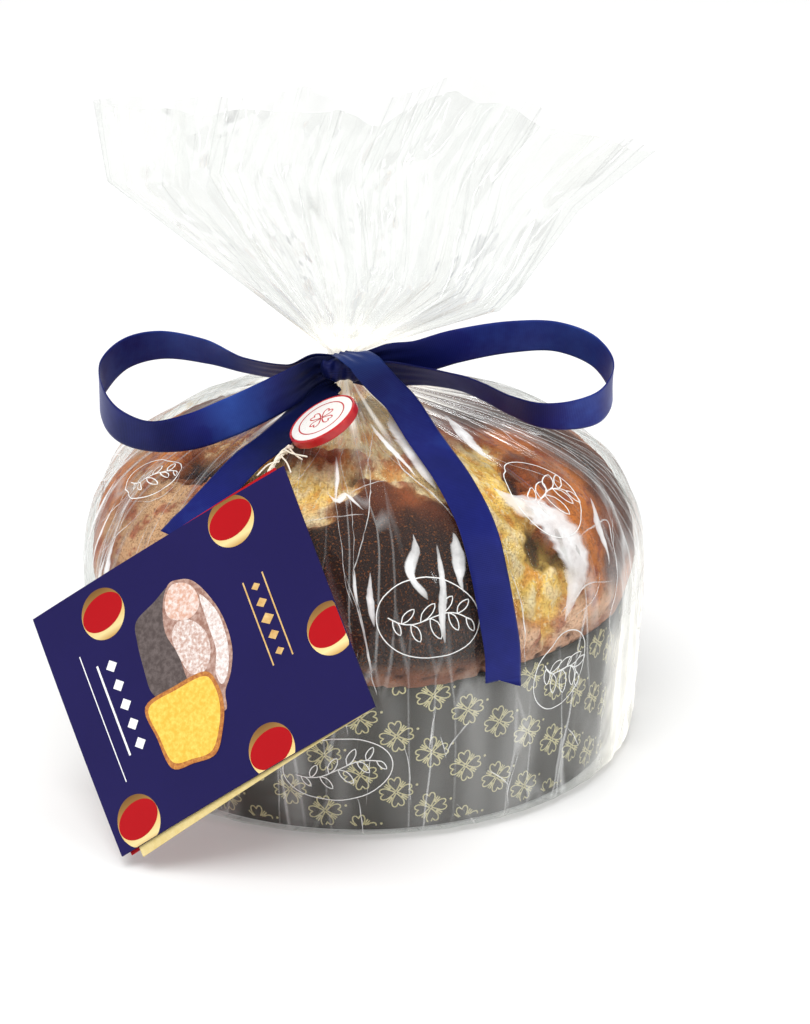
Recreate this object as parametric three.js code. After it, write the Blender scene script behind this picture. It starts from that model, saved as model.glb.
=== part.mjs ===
// A large offella cake in its paper case, sealed in a clear film bag that a ribbon bow gathers at the top,
// with a hang tag and a round seal on the bow. Millimetres, +Z up, origin at the middle of the bag's base.
import * as THREE from 'three';
import { mergeVertices } from 'three/addons/utils/BufferGeometryUtils.js';

const DEG = Math.PI / 180;

// ---- Driving dimensions --------------------------------------------------------------------------------

// The bag's body in profile: radius and height, from the flat base to the tie.
const BAG_PROFILE = [
  [101, 0], [107, 1.4], [110.5, 5],
  [112.5, 22], [113.5, 60], [113, 84],
  [108, 100], [98, 115], [80, 127], [55, 137], [30, 143.5], [14, 147.5],
  [7.5, 151], [7.5, 160],
];
const ROWS_PER_SPAN = 2;
const POINTS_PER_SIDE = 42;
const TIE = { x: -6.5, radius: 7.5, bottom: 151, top: 160, leanFrom: 112 };
const SHOULDER_PLEATS = { depth: 2.6, from: 100, to: 151, coarse: 11, fine: 17 };
const SIDE_WAVES = { depth: 0.9, from: 6, to: 112, coarse: 7, fine: 13 };

// The gathered top: its left and right silhouettes and its cut mouth, as x and z.
const FAN_LEFT = [[-14, 160], [-98, 227.5], [-102, 258.5]];
const FAN_RIGHT = [[1, 160], [54, 175.5], [62, 184], [84, 215.5], [113, 239]];
const FAN_MOUTH = [[-102, 258.5], [-56, 256.5], [-23, 259], [8, 254], [36, 266], [69, 252.5], [113, 239]];
const FAN_ROWS = 14;
const FAN_DEPTH = { tie: 7.5, mouth: 17 };
const FAN_RUFFLE = { depth: 8, coarse: 6.5, fine: 10.3 };

// The ribbon: a flat satin strip tied once round the gather. It narrows where the knot gathers it.
const RIBBON = { width: 15, thickness: 0.8, gathered: 9, taper: 0.13 };
const KNOT = { x: -6.5, y: -15.3, z: 156.6, length: 19, depth: 11.4, height: 10, bulge: 0.2 };
const WRAP = { inner: 7.9, outer: 9.1, bottom: 151.8, top: 157 };

// Stations along each loop, from the knot out along the far strand and back along the near one:
// x, y, z of the strip's middle line and its lean from upright in degrees, top edge forward if below 0.
const LEFT_LOOP = [
  [-17, -11.5, 156.5, -20], [-28, -10, 153.5, -50], [-46, -5, 154.5, -48], [-62, -1, 159, -32],
  [-80, 1, 161, -25], [-93, -4, 159, -18], [-101, -18, 153, 0], [-99, -33, 147, 0],
  [-92, -43, 142.5, -10], [-80, -48, 140, -20], [-65, -48, 141.7, -5], [-50, -44, 146.2, 10],
  [-37, -38, 150.6, 14], [-25, -28, 154.2, 8], [-17, -17.5, 156.4, 0],
];
const RIGHT_LOOP = [
  [4, -11.5, 158, -10], [12, -12, 159, -10], [22, -13, 160.5, -14], [36, -14, 165, -12],
  [58, -11, 168, -17], [77, -8, 167, -23], [91, -12, 162, -20], [97, -24, 154.5, -6],
  [92, -36, 148.5, -12], [80, -43, 146.8, -24], [68, -43, 146.8, -33], [57, -38, 149, -42],
  [47, -32, 152.3, -46], [37, -24.5, 153.8, -50], [24, -18, 154.3, -45], [12, -15.5, 154.3, -30],
  [4, -15.6, 154, -10],
];
const LOOP_STEPS = 46;

// Free start of each tail in front of the knot, then azimuth in degrees and height down the film.
const FRONT_TAIL = {
  start: [[1, -21.9, 160.5], [3, -25, 159], [8.5, -29, 154.5], [15, -34, 149.3]],
  film: [[-59.5, 137], [-62.5, 127], [-63.8, 116], [-63.8, 103], [-63.6, 89], [-62.8, 75], [-62.6, 63]],
  steps: 28, slant: 8,
};
const LEFT_TAIL = {
  start: [[-10, -14.5, 149.8]],
  film: [[-115, 146.5], [-116.5, 140.5], [-119.5, 136], [-123, 131.5], [-124.8, 126], [-126.6, 120.5],
    [-128.8, 114.5], [-131, 109.5]],
  steps: 18, slant: -7,
};
const TAIL_LIFT = 1.2;

// The seal: a shallow round cup with an inlaid disc, lying on the left tail just below the knot.
const SEAL = { x: -12.8, y: -56, z: 147.1, azimuth: -162, elevation: 60 };
const SEAL_CUP = { radius: 14, thickness: 3.7, edge: 0.5, sides: 32 };
const SEAL_FACE = { radius: 13, thickness: 1.1 };

// The hang tag: leaves that lean against the shoulder and bow slightly over it. A leaf's front depth is
// counted back from the cover, its trim comes off the low side, and turn and shift move it in its plane.
const TAG = {
  centre: [-59.5, -112.8, 75.7], azimuth: -123.6, elevation: 26.3, roll: -139.2,
  width: 121, height: 99.2, bow: 800, cells: 8,
};
const TAG_COVER = { front: 0, thickness: 0.8, trim: 0, turn: 0, shift: [0, 0] };
const TAG_PAGE = { front: 1.1, thickness: 0.5, trim: 9, turn: 2.2, shift: [2.8, 2.1] };
const TAG_BACK = { front: 1.9, thickness: 0.5, trim: 4.3, turn: 1.6, shift: [2.7, -0.5] };
const THREAD = {
  radius: 0.8, sides: 8, steps: 14,
  route: [[-26.1, -59.3, 139.6], [-29, -66, 139.5], [-32, -76, 138.3], [-33.2, -84, 138.8]],
};

const GAP = 0.3;

// ---- Closed bodies -------------------------------------------------------------------------------------

function closedGeometry(positions, triangles) {
  const point = (i) => new THREE.Vector3().fromArray(positions, 3 * i);
  let volume = 0;
  for (let t = 0; t < triangles.length; t += 3) {
    const [a, b, c] = triangles.slice(t, t + 3).map(point);
    volume += a.dot(b.cross(c));
  }
  const outward = volume > 0 ? triangles : triangles.slice().reverse();
  const geometry = new THREE.BufferGeometry();
  geometry.setAttribute('position', new THREE.Float32BufferAttribute(positions, 3));
  geometry.setIndex(outward);
  geometry.computeVertexNormals();
  return geometry;
}

// Joins rings of equal count into a tube, and closes each end by a strip across its last ring.
function loft(rings) {
  const count = rings[0].length;
  const positions = rings.flat().flatMap((p) => p.toArray());
  const triangles = [];
  for (let row = 0; row + 1 < rings.length; row += 1) {
    for (let i = 0; i < count; i += 1) {
      const a = row * count + i;
      const b = row * count + ((i + 1) % count);
      triangles.push(a, b, b + count, a, b + count, a + count);
    }
  }
  const closeEnd = (first, flip) => {
    for (let k = 0; k < count / 2; k += 1) {
      const corners = [k, k + 1, count - k - 1, (count - k) % count].map((i) => first + i);
      const [a, b, c, d] = flip ? corners.reverse() : corners;
      if (a !== b && b !== c && a !== c) triangles.push(a, b, c);
      if (a !== c && c !== d && a !== d) triangles.push(a, c, d);
    }
  };
  closeEnd(0, true);
  closeEnd((rings.length - 1) * count, false);
  return closedGeometry(positions, triangles);
}

function piece(name, geometry, colour, roughness, metalness = 0) {
  const material = new THREE.MeshStandardMaterial({ color: colour, roughness, metalness });
  const mesh = new THREE.Mesh(geometry, material);
  mesh.name = name;
  return mesh;
}

// ---- The film bag --------------------------------------------------------------------------------------

const mix = (a, b, t) => a + (b - a) * t;
const clamp01 = (t) => Math.min(1, Math.max(0, t));
const smooth = (t) => clamp01(t) ** 2 * (3 - 2 * clamp01(t));

const profileRows = new THREE.SplineCurve(BAG_PROFILE.map(([r, z]) => new THREE.Vector2(r, z)))
  .getPoints(ROWS_PER_SPAN * (BAG_PROFILE.length - 1))
  .map((p) => ({ radius: p.x, height: Math.max(0, p.y) }));

// The body leans a little towards the tie, which is off the middle.
const axisAt = (height) => TIE.x * smooth((height - TIE.leanFrom) / (TIE.bottom - TIE.leanFrom));

function radiusAt(height) {
  const above = profileRows.findIndex((row, i) => i > 0 && row.height >= height);
  const [low, high] = [profileRows[above - 1], profileRows[above]];
  return mix(low.radius, high.radius, (height - low.height) / (high.height - low.height));
}

const hump = (height, { from, to }) => Math.sin(Math.PI * clamp01((height - from) / (to - from)));
const wave = (angle, { coarse, fine }) => 0.65 * Math.sin(coarse * angle + 0.6) + 0.35 * Math.sin(fine * angle + 2);
const pleatDepth = (height) => SHOULDER_PLEATS.depth * hump(height, SHOULDER_PLEATS)
  + SIDE_WAVES.depth * hump(height, SIDE_WAVES);

function bodyRing({ radius, height }) {
  const ring = [];
  for (let i = 0; i < 2 * POINTS_PER_SIDE; i += 1) {
    const angle = Math.PI * (1 + i / POINTS_PER_SIDE);
    const pleat = SHOULDER_PLEATS.depth * hump(height, SHOULDER_PLEATS) * wave(angle, SHOULDER_PLEATS)
      + SIDE_WAVES.depth * hump(height, SIDE_WAVES) * wave(angle, SIDE_WAVES);
    const reach = radius + pleat;
    ring.push(new THREE.Vector3(axisAt(height) + reach * Math.cos(angle), reach * Math.sin(angle), height));
  }
  return ring;
}

// A path of straight stretches, read by its share of the whole length.
function path(points) {
  const curve = new THREE.CurvePath();
  for (let i = 0; i + 1 < points.length; i += 1) {
    curve.add(new THREE.LineCurve(new THREE.Vector2(...points[i]), new THREE.Vector2(...points[i + 1])));
  }
  return (share) => curve.getPoint(share);
}

const fanLeft = path(FAN_LEFT);
const fanRight = path(FAN_RIGHT);
const fanMouth = path(FAN_MOUTH);
const fanTie = path([FAN_LEFT[0], FAN_RIGHT[0]]);

// A point of the gathered top, spread between its four outlines: across from left to right, up to the mouth.
function fanPoint(across, up) {
  const sides = fanLeft(up).multiplyScalar(1 - across).addScaledVector(fanRight(up), across);
  const ends = fanTie(across).multiplyScalar(1 - up).addScaledVector(fanMouth(across), up);
  const corners = fanTie(0).multiplyScalar((1 - across) * (1 - up))
    .addScaledVector(fanTie(1), across * (1 - up))
    .addScaledVector(fanMouth(0), (1 - across) * up)
    .addScaledVector(fanMouth(1), across * up);
  return sides.add(ends).sub(corners);
}

function fanRing(up) {
  const ring = [];
  const half = mix(FAN_DEPTH.tie, FAN_DEPTH.mouth, up ** 0.8);
  const ruffle = FAN_RUFFLE.depth * up ** 0.7;
  for (let i = 0; i < 2 * POINTS_PER_SIDE; i += 1) {
    const back = i > POINTS_PER_SIDE;
    const step = (back ? 2 * POINTS_PER_SIDE - i : i) / POINTS_PER_SIDE;
    const across = mix((1 - Math.cos(Math.PI * step)) / 2, step, 0.85 * up);
    const turns = 2 * Math.PI * across + (back ? 1.9 : 0);
    const fold = 0.7 * Math.sin(FAN_RUFFLE.coarse * turns) + 0.3 * Math.sin(FAN_RUFFLE.fine * turns + 2);
    const depth = 2 * Math.sqrt(across * (1 - across)) * (half + ruffle * fold);
    const { x, y: z } = fanPoint(across, up);
    ring.push(new THREE.Vector3(x, back ? depth : -depth, z));
  }
  return ring;
}

function bag() {
  const rings = profileRows.map(bodyRing);
  for (let row = 1; row <= FAN_ROWS; row += 1) rings.push(fanRing(row / FAN_ROWS));
  return piece('bag', loft(rings), 0xcfd2cb, 0.15);
}

// A point standing off the film, clear of its pleats.
function offFilm(azimuth, height, lift) {
  const slope = (radiusAt(height + 1) - radiusAt(height - 1)) / 2;
  const normal = new THREE.Vector2(1, -slope).normalize();
  const clear = pleatDepth(height) + lift;
  const reach = radiusAt(height) + normal.x * clear;
  return new THREE.Vector3(
    axisAt(height) + reach * Math.cos(azimuth * DEG),
    reach * Math.sin(azimuth * DEG),
    height + normal.y * clear,
  );
}

// ---- The ribbon ----------------------------------------------------------------------------------------

// Sweeps the strip along its middle line. across gives the strip's width direction at each station.
function strip(line, across, steps, widthAt, slant = 0) {
  const middle = new THREE.CatmullRomCurve3(line, false, 'centripetal');
  const direction = new THREE.CatmullRomCurve3(across, false, 'centripetal');
  const rings = [];
  for (let step = 0; step <= steps; step += 1) {
    const share = step / steps;
    const along = middle.getTangent(share);
    const width = direction.getPoint(share);
    width.addScaledVector(along, -width.dot(along)).setLength(widthAt(share) / 2);
    const out = along.clone().cross(width).setLength(RIBBON.thickness / 2);
    const centre = middle.getPoint(share);
    const skew = step === steps ? along.clone().multiplyScalar(slant / 2) : new THREE.Vector3();
    const low = centre.clone().sub(width).sub(skew);
    const high = centre.clone().add(width).add(skew);
    rings.push([low.clone().sub(out), high.clone().sub(out), high.clone().add(out), low.clone().add(out)]);
  }
  return loft(rings);
}

function loop(name, stations) {
  const line = stations.map(([x, y, z]) => new THREE.Vector3(x, y, z));
  const lean = stations.map(([, , , tilt]) => new THREE.Vector3(0, Math.sin(tilt * DEG), Math.cos(tilt * DEG)));
  const widthAt = (share) => mix(RIBBON.gathered, RIBBON.width, smooth(Math.min(share, 1 - share) / RIBBON.taper));
  return piece(name, strip(line, lean, LOOP_STEPS, widthAt), 0x262c78, 0.4);
}

function tail(name, { start, film, steps, slant }) {
  const line = start.map((p) => new THREE.Vector3(...p));
  film.forEach(([azimuth, height]) => line.push(offFilm(azimuth, height, TAIL_LIFT)));
  const bearings = [...start.map(() => film[0][0]), ...film.map(([azimuth]) => azimuth)];
  const level = bearings.map((azimuth) => new THREE.Vector3(-Math.sin(azimuth * DEG), Math.cos(azimuth * DEG), 0));
  const widthAt = (share) => mix(RIBBON.gathered, RIBBON.width, smooth(share / RIBBON.taper));
  return piece(name, strip(line, level, steps, widthAt, slant), 0x262c78, 0.4);
}

function knot() {
  const rings = [];
  const [steps, sides] = [8, 16];
  for (let step = 0; step <= steps; step += 1) {
    const along = 2 * step / steps - 1;
    const swell = 1 - KNOT.bulge * along ** 2;
    const ring = [];
    for (let i = 0; i < sides; i += 1) {
      const angle = 2 * Math.PI * i / sides;
      const round = (value) => Math.sign(value) * Math.abs(value) ** 0.7;
      ring.push(new THREE.Vector3(
        KNOT.x + along * KNOT.length / 2,
        KNOT.y + swell * KNOT.depth / 2 * round(Math.cos(angle)),
        KNOT.z + swell * KNOT.height / 2 * round(Math.sin(angle)),
      ));
    }
    rings.push(ring);
  }
  return piece('ribbon_knot', loft(rings), 0x262c78, 0.4);
}

// Revolves a profile of radius and height round the upright axis.
function turned(profile, sides) {
  const lathe = new THREE.LatheGeometry(profile.map(([r, z]) => new THREE.Vector2(r, z)), sides);
  lathe.deleteAttribute('normal');
  lathe.deleteAttribute('uv');
  lathe.rotateX(Math.PI / 2);
  const merged = mergeVertices(lathe, 1e-4);
  const index = Array.from(merged.index.array);
  const kept = [];
  for (let t = 0; t < index.length; t += 3) {
    const [a, b, c] = index.slice(t, t + 3);
    if (a !== b && b !== c && a !== c) kept.push(a, b, c);
  }
  return closedGeometry(Array.from(merged.attributes.position.array), kept);
}

function wrap() {
  const { inner, outer, bottom, top } = WRAP;
  const profile = [[inner, bottom], [outer, bottom], [outer, top], [inner, top], [inner, bottom]];
  const mesh = piece('ribbon_wrap', turned(profile, 28), 0x262c78, 0.4);
  mesh.position.x = TIE.x;
  return mesh;
}

// ---- The seal, the hang tag and its thread -------------------------------------------------------------

function seal() {
  const { radius, thickness, edge, sides } = SEAL_CUP;
  const recess = { radius: SEAL_FACE.radius + GAP, floor: thickness - SEAL_FACE.thickness - GAP };
  const cup = turned([
    [0, 0], [radius - edge, 0], [radius, edge], [radius, thickness - edge], [radius - edge, thickness],
    [recess.radius, thickness], [recess.radius, recess.floor], [0, recess.floor],
  ], sides);
  const low = recess.floor + GAP;
  const top = low + SEAL_FACE.thickness;
  const face = turned([[0, low], [SEAL_FACE.radius, low], [SEAL_FACE.radius, top], [0, top]], sides);
  const group = new THREE.Group();
  group.add(piece('seal_cup', cup, 0xbc1821, 0.35), piece('seal_face', face, 0xf2efea, 0.4));
  group.position.set(SEAL.x, SEAL.y, SEAL.z);
  group.rotation.set(0, (90 - SEAL.elevation) * DEG, SEAL.azimuth * DEG, 'ZYX');
  return group;
}

// The tag's frame: along its width, along its height, and out from its face.
function tagFrame() {
  const level = Math.cos(TAG.elevation * DEG);
  const out = new THREE.Vector3(
    level * Math.cos(TAG.azimuth * DEG),
    level * Math.sin(TAG.azimuth * DEG),
    Math.sin(TAG.elevation * DEG),
  );
  const right = new THREE.Vector3(0, 0, 1).cross(out).normalize();
  const rise = out.clone().cross(right);
  const turn = (angle) => right.clone().multiplyScalar(Math.cos(angle * DEG))
    .addScaledVector(rise, Math.sin(angle * DEG));
  return { width: turn(TAG.roll), height: turn(TAG.roll + 90), out };
}

// A point of the tag at depth behind its cover, bowed across the corner that hangs lowest.
function tagPoint(frame, p, q, depth) {
  const diagonal = Math.hypot(TAG.width, TAG.height);
  const [c, s] = [TAG.width / diagonal, TAG.height / diagonal];
  const turn = (p * c + q * s) / TAG.bow;
  const sideways = q * c - p * s;
  const down = frame.width.clone().multiplyScalar(c).addScaledVector(frame.height, s);
  const side = frame.height.clone().multiplyScalar(c).addScaledVector(frame.width, -s);
  const radius = TAG.bow - depth;
  return new THREE.Vector3(...TAG.centre)
    .addScaledVector(down, radius * Math.sin(turn))
    .addScaledVector(side, sideways)
    .addScaledVector(frame.out, radius * Math.cos(turn) - TAG.bow);
}

function leaf(name, { front, thickness, trim, turn, shift }, colour) {
  const frame = tagFrame();
  const rows = [];
  for (let row = 0; row <= TAG.cells; row += 1) {
    const across = row / TAG.cells;
    const ring = [];
    for (const depth of [front, front + thickness]) {
      for (let i = 0; i <= TAG.cells; i += 1) {
        const down = depth === front ? i / TAG.cells : 1 - i / TAG.cells;
        const p = mix(-TAG.width / 2, TAG.width / 2 - trim, down);
        const q = mix(-TAG.height / 2, TAG.height / 2, across);
        const [c, s] = [Math.cos(turn * DEG), Math.sin(turn * DEG)];
        ring.push(tagPoint(frame, p * c - q * s + shift[0], p * s + q * c + shift[1], depth));
      }
    }
    rows.push(ring);
  }
  return piece(name, loftFlat(rows), colour, 0.5);
}

// Joins rings that run out along one face and back along the other, closing each end between the faces.
function loftFlat(rings) {
  const count = rings[0].length;
  const positions = rings.flat().flatMap((p) => p.toArray());
  const triangles = [];
  for (let row = 0; row + 1 < rings.length; row += 1) {
    for (let i = 0; i < count; i += 1) {
      const a = row * count + i;
      const b = row * count + ((i + 1) % count);
      const sameSplit = i < count / 2;
      if (sameSplit) triangles.push(a, b, b + count, a, b + count, a + count);
      else triangles.push(a, b, a + count, b, b + count, a + count);
    }
  }
  const last = (rings.length - 1) * count;
  for (let k = 0; k + 1 < count / 2; k += 1) {
    const far = count - 1 - k;
    triangles.push(k, far, far - 1, k, far - 1, k + 1);
    triangles.push(last + k, last + far - 1, last + far, last + k, last + k + 1, last + far - 1);
  }
  return closedGeometry(positions, triangles);
}

function thread() {
  const { radius, sides, steps, route } = THREAD;
  const outline = new THREE.Shape();
  for (let i = 0; i <= sides; i += 1) {
    const angle = 2 * Math.PI * i / sides;
    const [x, y] = [radius * Math.cos(angle), radius * Math.sin(angle)];
    if (i === 0) outline.moveTo(x, y);
    else outline.lineTo(x, y);
  }
  const curve = new THREE.CatmullRomCurve3(route.map((p) => new THREE.Vector3(...p)));
  const tube = new THREE.ExtrudeGeometry(outline, { steps, extrudePath: curve, bevelEnabled: false });
  return piece('tag_thread', tube, 0xe8dcc4, 0.9);
}

const cake = new THREE.Group();
cake.add(bag(), knot(), wrap(), loop('ribbon_loop_left', LEFT_LOOP), loop('ribbon_loop_right', RIGHT_LOOP));
cake.add(tail('ribbon_tail_front', FRONT_TAIL), tail('ribbon_tail_left', LEFT_TAIL), seal(), thread());
cake.add(leaf('tag_cover', TAG_COVER, 0x29245e), leaf('tag_page', TAG_PAGE, 0xd9bd7c));
cake.add(leaf('tag_back', TAG_BACK, 0xa81c24));

export default cake;
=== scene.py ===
# %% [markdown]
# # An offella cake in a clear film bag
#
# The object is a tall festive cake in a printed paper case. A clear film bag holds it, gathered at the
# top by a ribbon bow, and a folded card hangs from the bow by a thread with a seal. The solids loaded here
# give every size and place. This script dresses them: film, crust, crumb, paper, satin, card, seal and
# thread. It works in millimetres, and turns them into metres when a mesh is made.

# %% Load the solids
import math
import bmesh
import bpy
import numpy as np
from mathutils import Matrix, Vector, noise


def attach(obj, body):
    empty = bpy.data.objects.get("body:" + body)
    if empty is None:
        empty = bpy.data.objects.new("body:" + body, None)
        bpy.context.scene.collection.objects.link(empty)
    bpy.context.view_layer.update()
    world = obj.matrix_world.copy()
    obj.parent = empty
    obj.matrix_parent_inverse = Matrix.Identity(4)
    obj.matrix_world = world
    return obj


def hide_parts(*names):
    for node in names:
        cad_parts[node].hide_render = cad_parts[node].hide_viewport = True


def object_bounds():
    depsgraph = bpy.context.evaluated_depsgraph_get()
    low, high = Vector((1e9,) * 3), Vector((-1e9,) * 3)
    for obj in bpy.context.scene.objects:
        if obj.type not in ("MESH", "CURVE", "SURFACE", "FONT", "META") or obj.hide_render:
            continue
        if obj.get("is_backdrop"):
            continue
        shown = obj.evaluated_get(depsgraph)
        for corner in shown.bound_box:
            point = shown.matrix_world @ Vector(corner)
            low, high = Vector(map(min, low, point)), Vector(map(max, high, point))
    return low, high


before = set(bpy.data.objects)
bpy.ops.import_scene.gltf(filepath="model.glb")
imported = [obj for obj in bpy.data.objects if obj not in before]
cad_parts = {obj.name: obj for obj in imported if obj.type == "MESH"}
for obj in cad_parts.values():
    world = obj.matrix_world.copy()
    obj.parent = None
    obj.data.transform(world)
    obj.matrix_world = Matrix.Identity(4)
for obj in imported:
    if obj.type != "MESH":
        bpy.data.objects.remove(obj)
CAD_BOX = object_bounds()
print("solids:", sorted(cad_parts))

# %% [markdown]
# ## The view
#
# The photograph was taken from a little over a metre away and 21 degrees above the table, with a long
# lens. The lens length follows from how many pixels a metre covers at a distance of one metre.

# %% Camera
PHOTO_SIZE = (810, 1024)
FOCAL_PIXELS = 2600
SENSOR = 36
AIM = Vector((0.0168, 0, 0.0908))
DISTANCE = 1.05
ELEVATION = math.radians(21)

camera_data = bpy.data.cameras.new("camera")
camera_data.lens = FOCAL_PIXELS * SENSOR / max(PHOTO_SIZE)
camera_data.sensor_width = SENSOR
camera = bpy.data.objects.new("camera", camera_data)
camera.location = AIM + DISTANCE * Vector((0, -math.cos(ELEVATION), math.sin(ELEVATION)))
camera.rotation_euler = (math.pi / 2 - ELEVATION, 0, 0)
bpy.context.collection.objects.link(camera)
bpy.context.scene.camera = camera
print("camera at", tuple(round(v, 3) for v in camera.location))

# %% [markdown]
# ## Light
#
# Film shows itself by what it mirrors, so the light matters as much as the film. A wide sun makes the
# pale floor bright and even, but it isn't mirrored, since its broad spot would cloud the dark crust. The
# sky stays dim for the same reason, and a few bright panels give white streaks along the folds, beside the
# painted highlights laid on the film.

# %% Lights, world and colour
scene = bpy.context.scene
scene.view_settings.view_transform = "Standard"
scene.cycles.transparent_max_bounces = 32

SKY_STRENGTH = 0.45
world = bpy.data.worlds.new("studio")
world.use_nodes = True
sky = world.node_tree.nodes["Background"].inputs
sky["Color"].default_value = (1, 1, 1, 1)
sky["Strength"].default_value = SKY_STRENGTH
scene.world = world

CAKE_MIDDLE = Vector((0, 0, 0.1))
# Each light's kind, place in metres, energy, whether the film mirrors it, and its settings.
LIGHTS = {
    "sun": ("SUN", (-0.45, -0.75, 1.9), 2.1, False, dict(angle=math.radians(40))),
    "left_panel": ("AREA", (-1.3, -0.9, 0.75), 2.6, True, dict(size=0.12, size_y=1.0)),
    "right_panel": ("AREA", (1.25, -0.75, 0.7), 2.4, True, dict(size=0.11, size_y=1.0)),
    "top_panel": ("AREA", (0.25, -0.15, 1.5), 2.8, False, dict(size=0.7, size_y=0.2)),
    "back_panel": ("AREA", (0.2, 1.3, 0.9), 2.2, True, dict(size=0.9, size_y=0.14)),
}
for name, (kind, place, energy, mirrored, settings) in LIGHTS.items():
    data = bpy.data.lights.new(name, kind)
    data.energy = energy
    if kind == "AREA":
        data.shape = "RECTANGLE"
    for setting, value in settings.items():
        setattr(data, setting, value)
    light = bpy.data.objects.new(name, data)
    light.location = place
    light.rotation_euler = (CAKE_MIDDLE - Vector(place)).to_track_quat("-Z", "Y").to_euler()
    light.visible_glossy = mirrored
    bpy.context.collection.objects.link(light)

# %% [markdown]
# ## Short ways to build node trees
#
# Materials and Geometry Nodes are both trees of nodes. This small class adds a node, sets its inputs or
# links them, and keeps each material down to a few lines.


# %% Node helper
class Tree:
    def __init__(self, tree):
        self.tree = tree

    def add(self, kind, inputs=None, **settings):
        node = self.tree.nodes.new(kind)
        for setting, value in settings.items():
            setattr(node, setting, value)
        self.feed_all(node, inputs or {})
        return node

    def feed(self, socket, value):
        """Links a socket, or a node's first output, to an input, or sets the input to a value."""
        if isinstance(value, bpy.types.Node):
            value = value.outputs[0]
        if isinstance(value, bpy.types.NodeSocket):
            self.tree.links.new(value, socket)
        else:
            socket.default_value = value

    def feed_all(self, node, inputs):
        for socket, value in inputs.items():
            self.feed(node.inputs[socket], value)

    def math(self, operation, first, second=0.0, third=0.0, clamp=False):
        return self.add("ShaderNodeMath", {0: first, 1: second, 2: third}, operation=operation,
                        use_clamp=clamp).outputs[0]

    def fit(self, value, low, high, to_low=0.0, to_high=1.0):
        """value from low..high stretched to to_low..to_high, and kept there."""
        return self.add("ShaderNodeMapRange", {0: value, 1: low, 2: high, 3: to_low, 4: to_high}).outputs[0]

    def blend(self, share, first, second, kind="MIX"):
        node = self.add("ShaderNodeMix", data_type="RGBA", blend_type=kind)
        for socket, value in ((0, share), (6, first), (7, second)):
            self.feed(node.inputs[socket], value)
        return node.outputs[2]

    def times(self, first, second):
        return self.math("MULTIPLY", first, second)

    def here(self):
        """The place on the object, which textures start from."""
        return self.add("ShaderNodeTexCoord").outputs["Object"]

    def read(self, name, output="Fac"):
        """What the mesh holds under that name at each point."""
        return self.add("ShaderNodeAttribute", attribute_name=name, attribute_type="GEOMETRY").outputs[output]

    def effect(self, name, inputs, output):
        """Places a shader group with its own values."""
        return self.add("ShaderNodeGroup", inputs, node_tree=bpy.data.node_groups[name]).outputs[output]

    def speckle(self, vector, scale, low, high):
        return self.effect("Speckle", {"Vector": vector, "Scale": scale, "Low": low, "High": high}, "Mask")

    def creases(self, vector, scale, width):
        return self.effect("Creases", {"Vector": vector, "Scale": scale, "Width": width}, "Lines")

    def bump(self, shader, height, strength, distance):
        relief = self.add("ShaderNodeBump", {"Height": height, "Strength": strength, "Distance": distance})
        self.feed(shader.inputs["Normal"], relief.outputs[0])


def colour(red, green, blue):
    """A screen colour, 0 to 255, as the linear colour that a material takes."""
    shares = [v / 255 for v in (red, green, blue)]
    return tuple(v / 12.92 if v <= 0.04045 else ((v + 0.055) / 1.055) ** 2.4 for v in shares) + (1.0,)


def new_group(name, inputs, outputs):
    """A shader node group with named sockets; returns its Tree, what it is given and its result node."""
    tree = bpy.data.node_groups.new(name, "ShaderNodeTree")
    for direction, sockets in (("INPUT", inputs), ("OUTPUT", outputs)):
        for socket in sockets:
            kind = "Vector" if socket == "Vector" else "Float"
            tree.interface.new_socket(socket, in_out=direction, socket_type="NodeSocket" + kind)
    made = Tree(tree)
    return made, made.add("NodeGroupInput").outputs, made.add("NodeGroupOutput")


# %% [markdown]
# ## Effects shared by several finishes
#
# **Speckle** is the small uneven tone of baked crust, crumb, paper and card. **Creases** are the thin
# broken lines of a crumpled sheet, in film and paper. **Weave** is the fine thread pattern of satin. Each
# is a group with its own sizes, so every material can place it at the right scale.

# %% Speckle, creases and weave
speckle, given, result = new_group("Speckle", ("Vector", "Scale", "Low", "High"), ("Mask",))
grains = speckle.add("ShaderNodeTexNoise", {
    "Vector": given["Vector"], "Scale": given["Scale"], "Detail": 5.0, "Roughness": 0.62})
speckle.feed(result.inputs["Mask"], speckle.fit(grains, given["Low"], given["High"]))

creases, given, result = new_group("Creases", ("Vector", "Scale", "Width"), ("Lines",))
drift = creases.add("ShaderNodeTexNoise", {
    "Vector": given["Vector"], "Scale": given["Scale"], "Detail": 0.0})
moved = creases.add("ShaderNodeVectorMath", {0: drift.outputs["Color"], "Scale": 0.35}, operation="SCALE")
spot = creases.add("ShaderNodeVectorMath", {0: given["Vector"], "Scale": given["Scale"]}, operation="SCALE")
place = creases.add("ShaderNodeVectorMath", {0: spot, 1: moved}, operation="ADD")
cells = creases.add("ShaderNodeTexVoronoi", {"Vector": place, "Scale": 1.0},
                    feature="DISTANCE_TO_EDGE")
patches = creases.add("ShaderNodeTexNoise", {"Vector": place, "Scale": 0.45, "Detail": 0.0})
shown = creases.fit(patches, 0.42, 0.62)
near = creases.fit(cells, 0.0, given["Width"], 1.0, 0.0)
creases.feed(result.inputs["Lines"], creases.times(near, shown))

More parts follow.
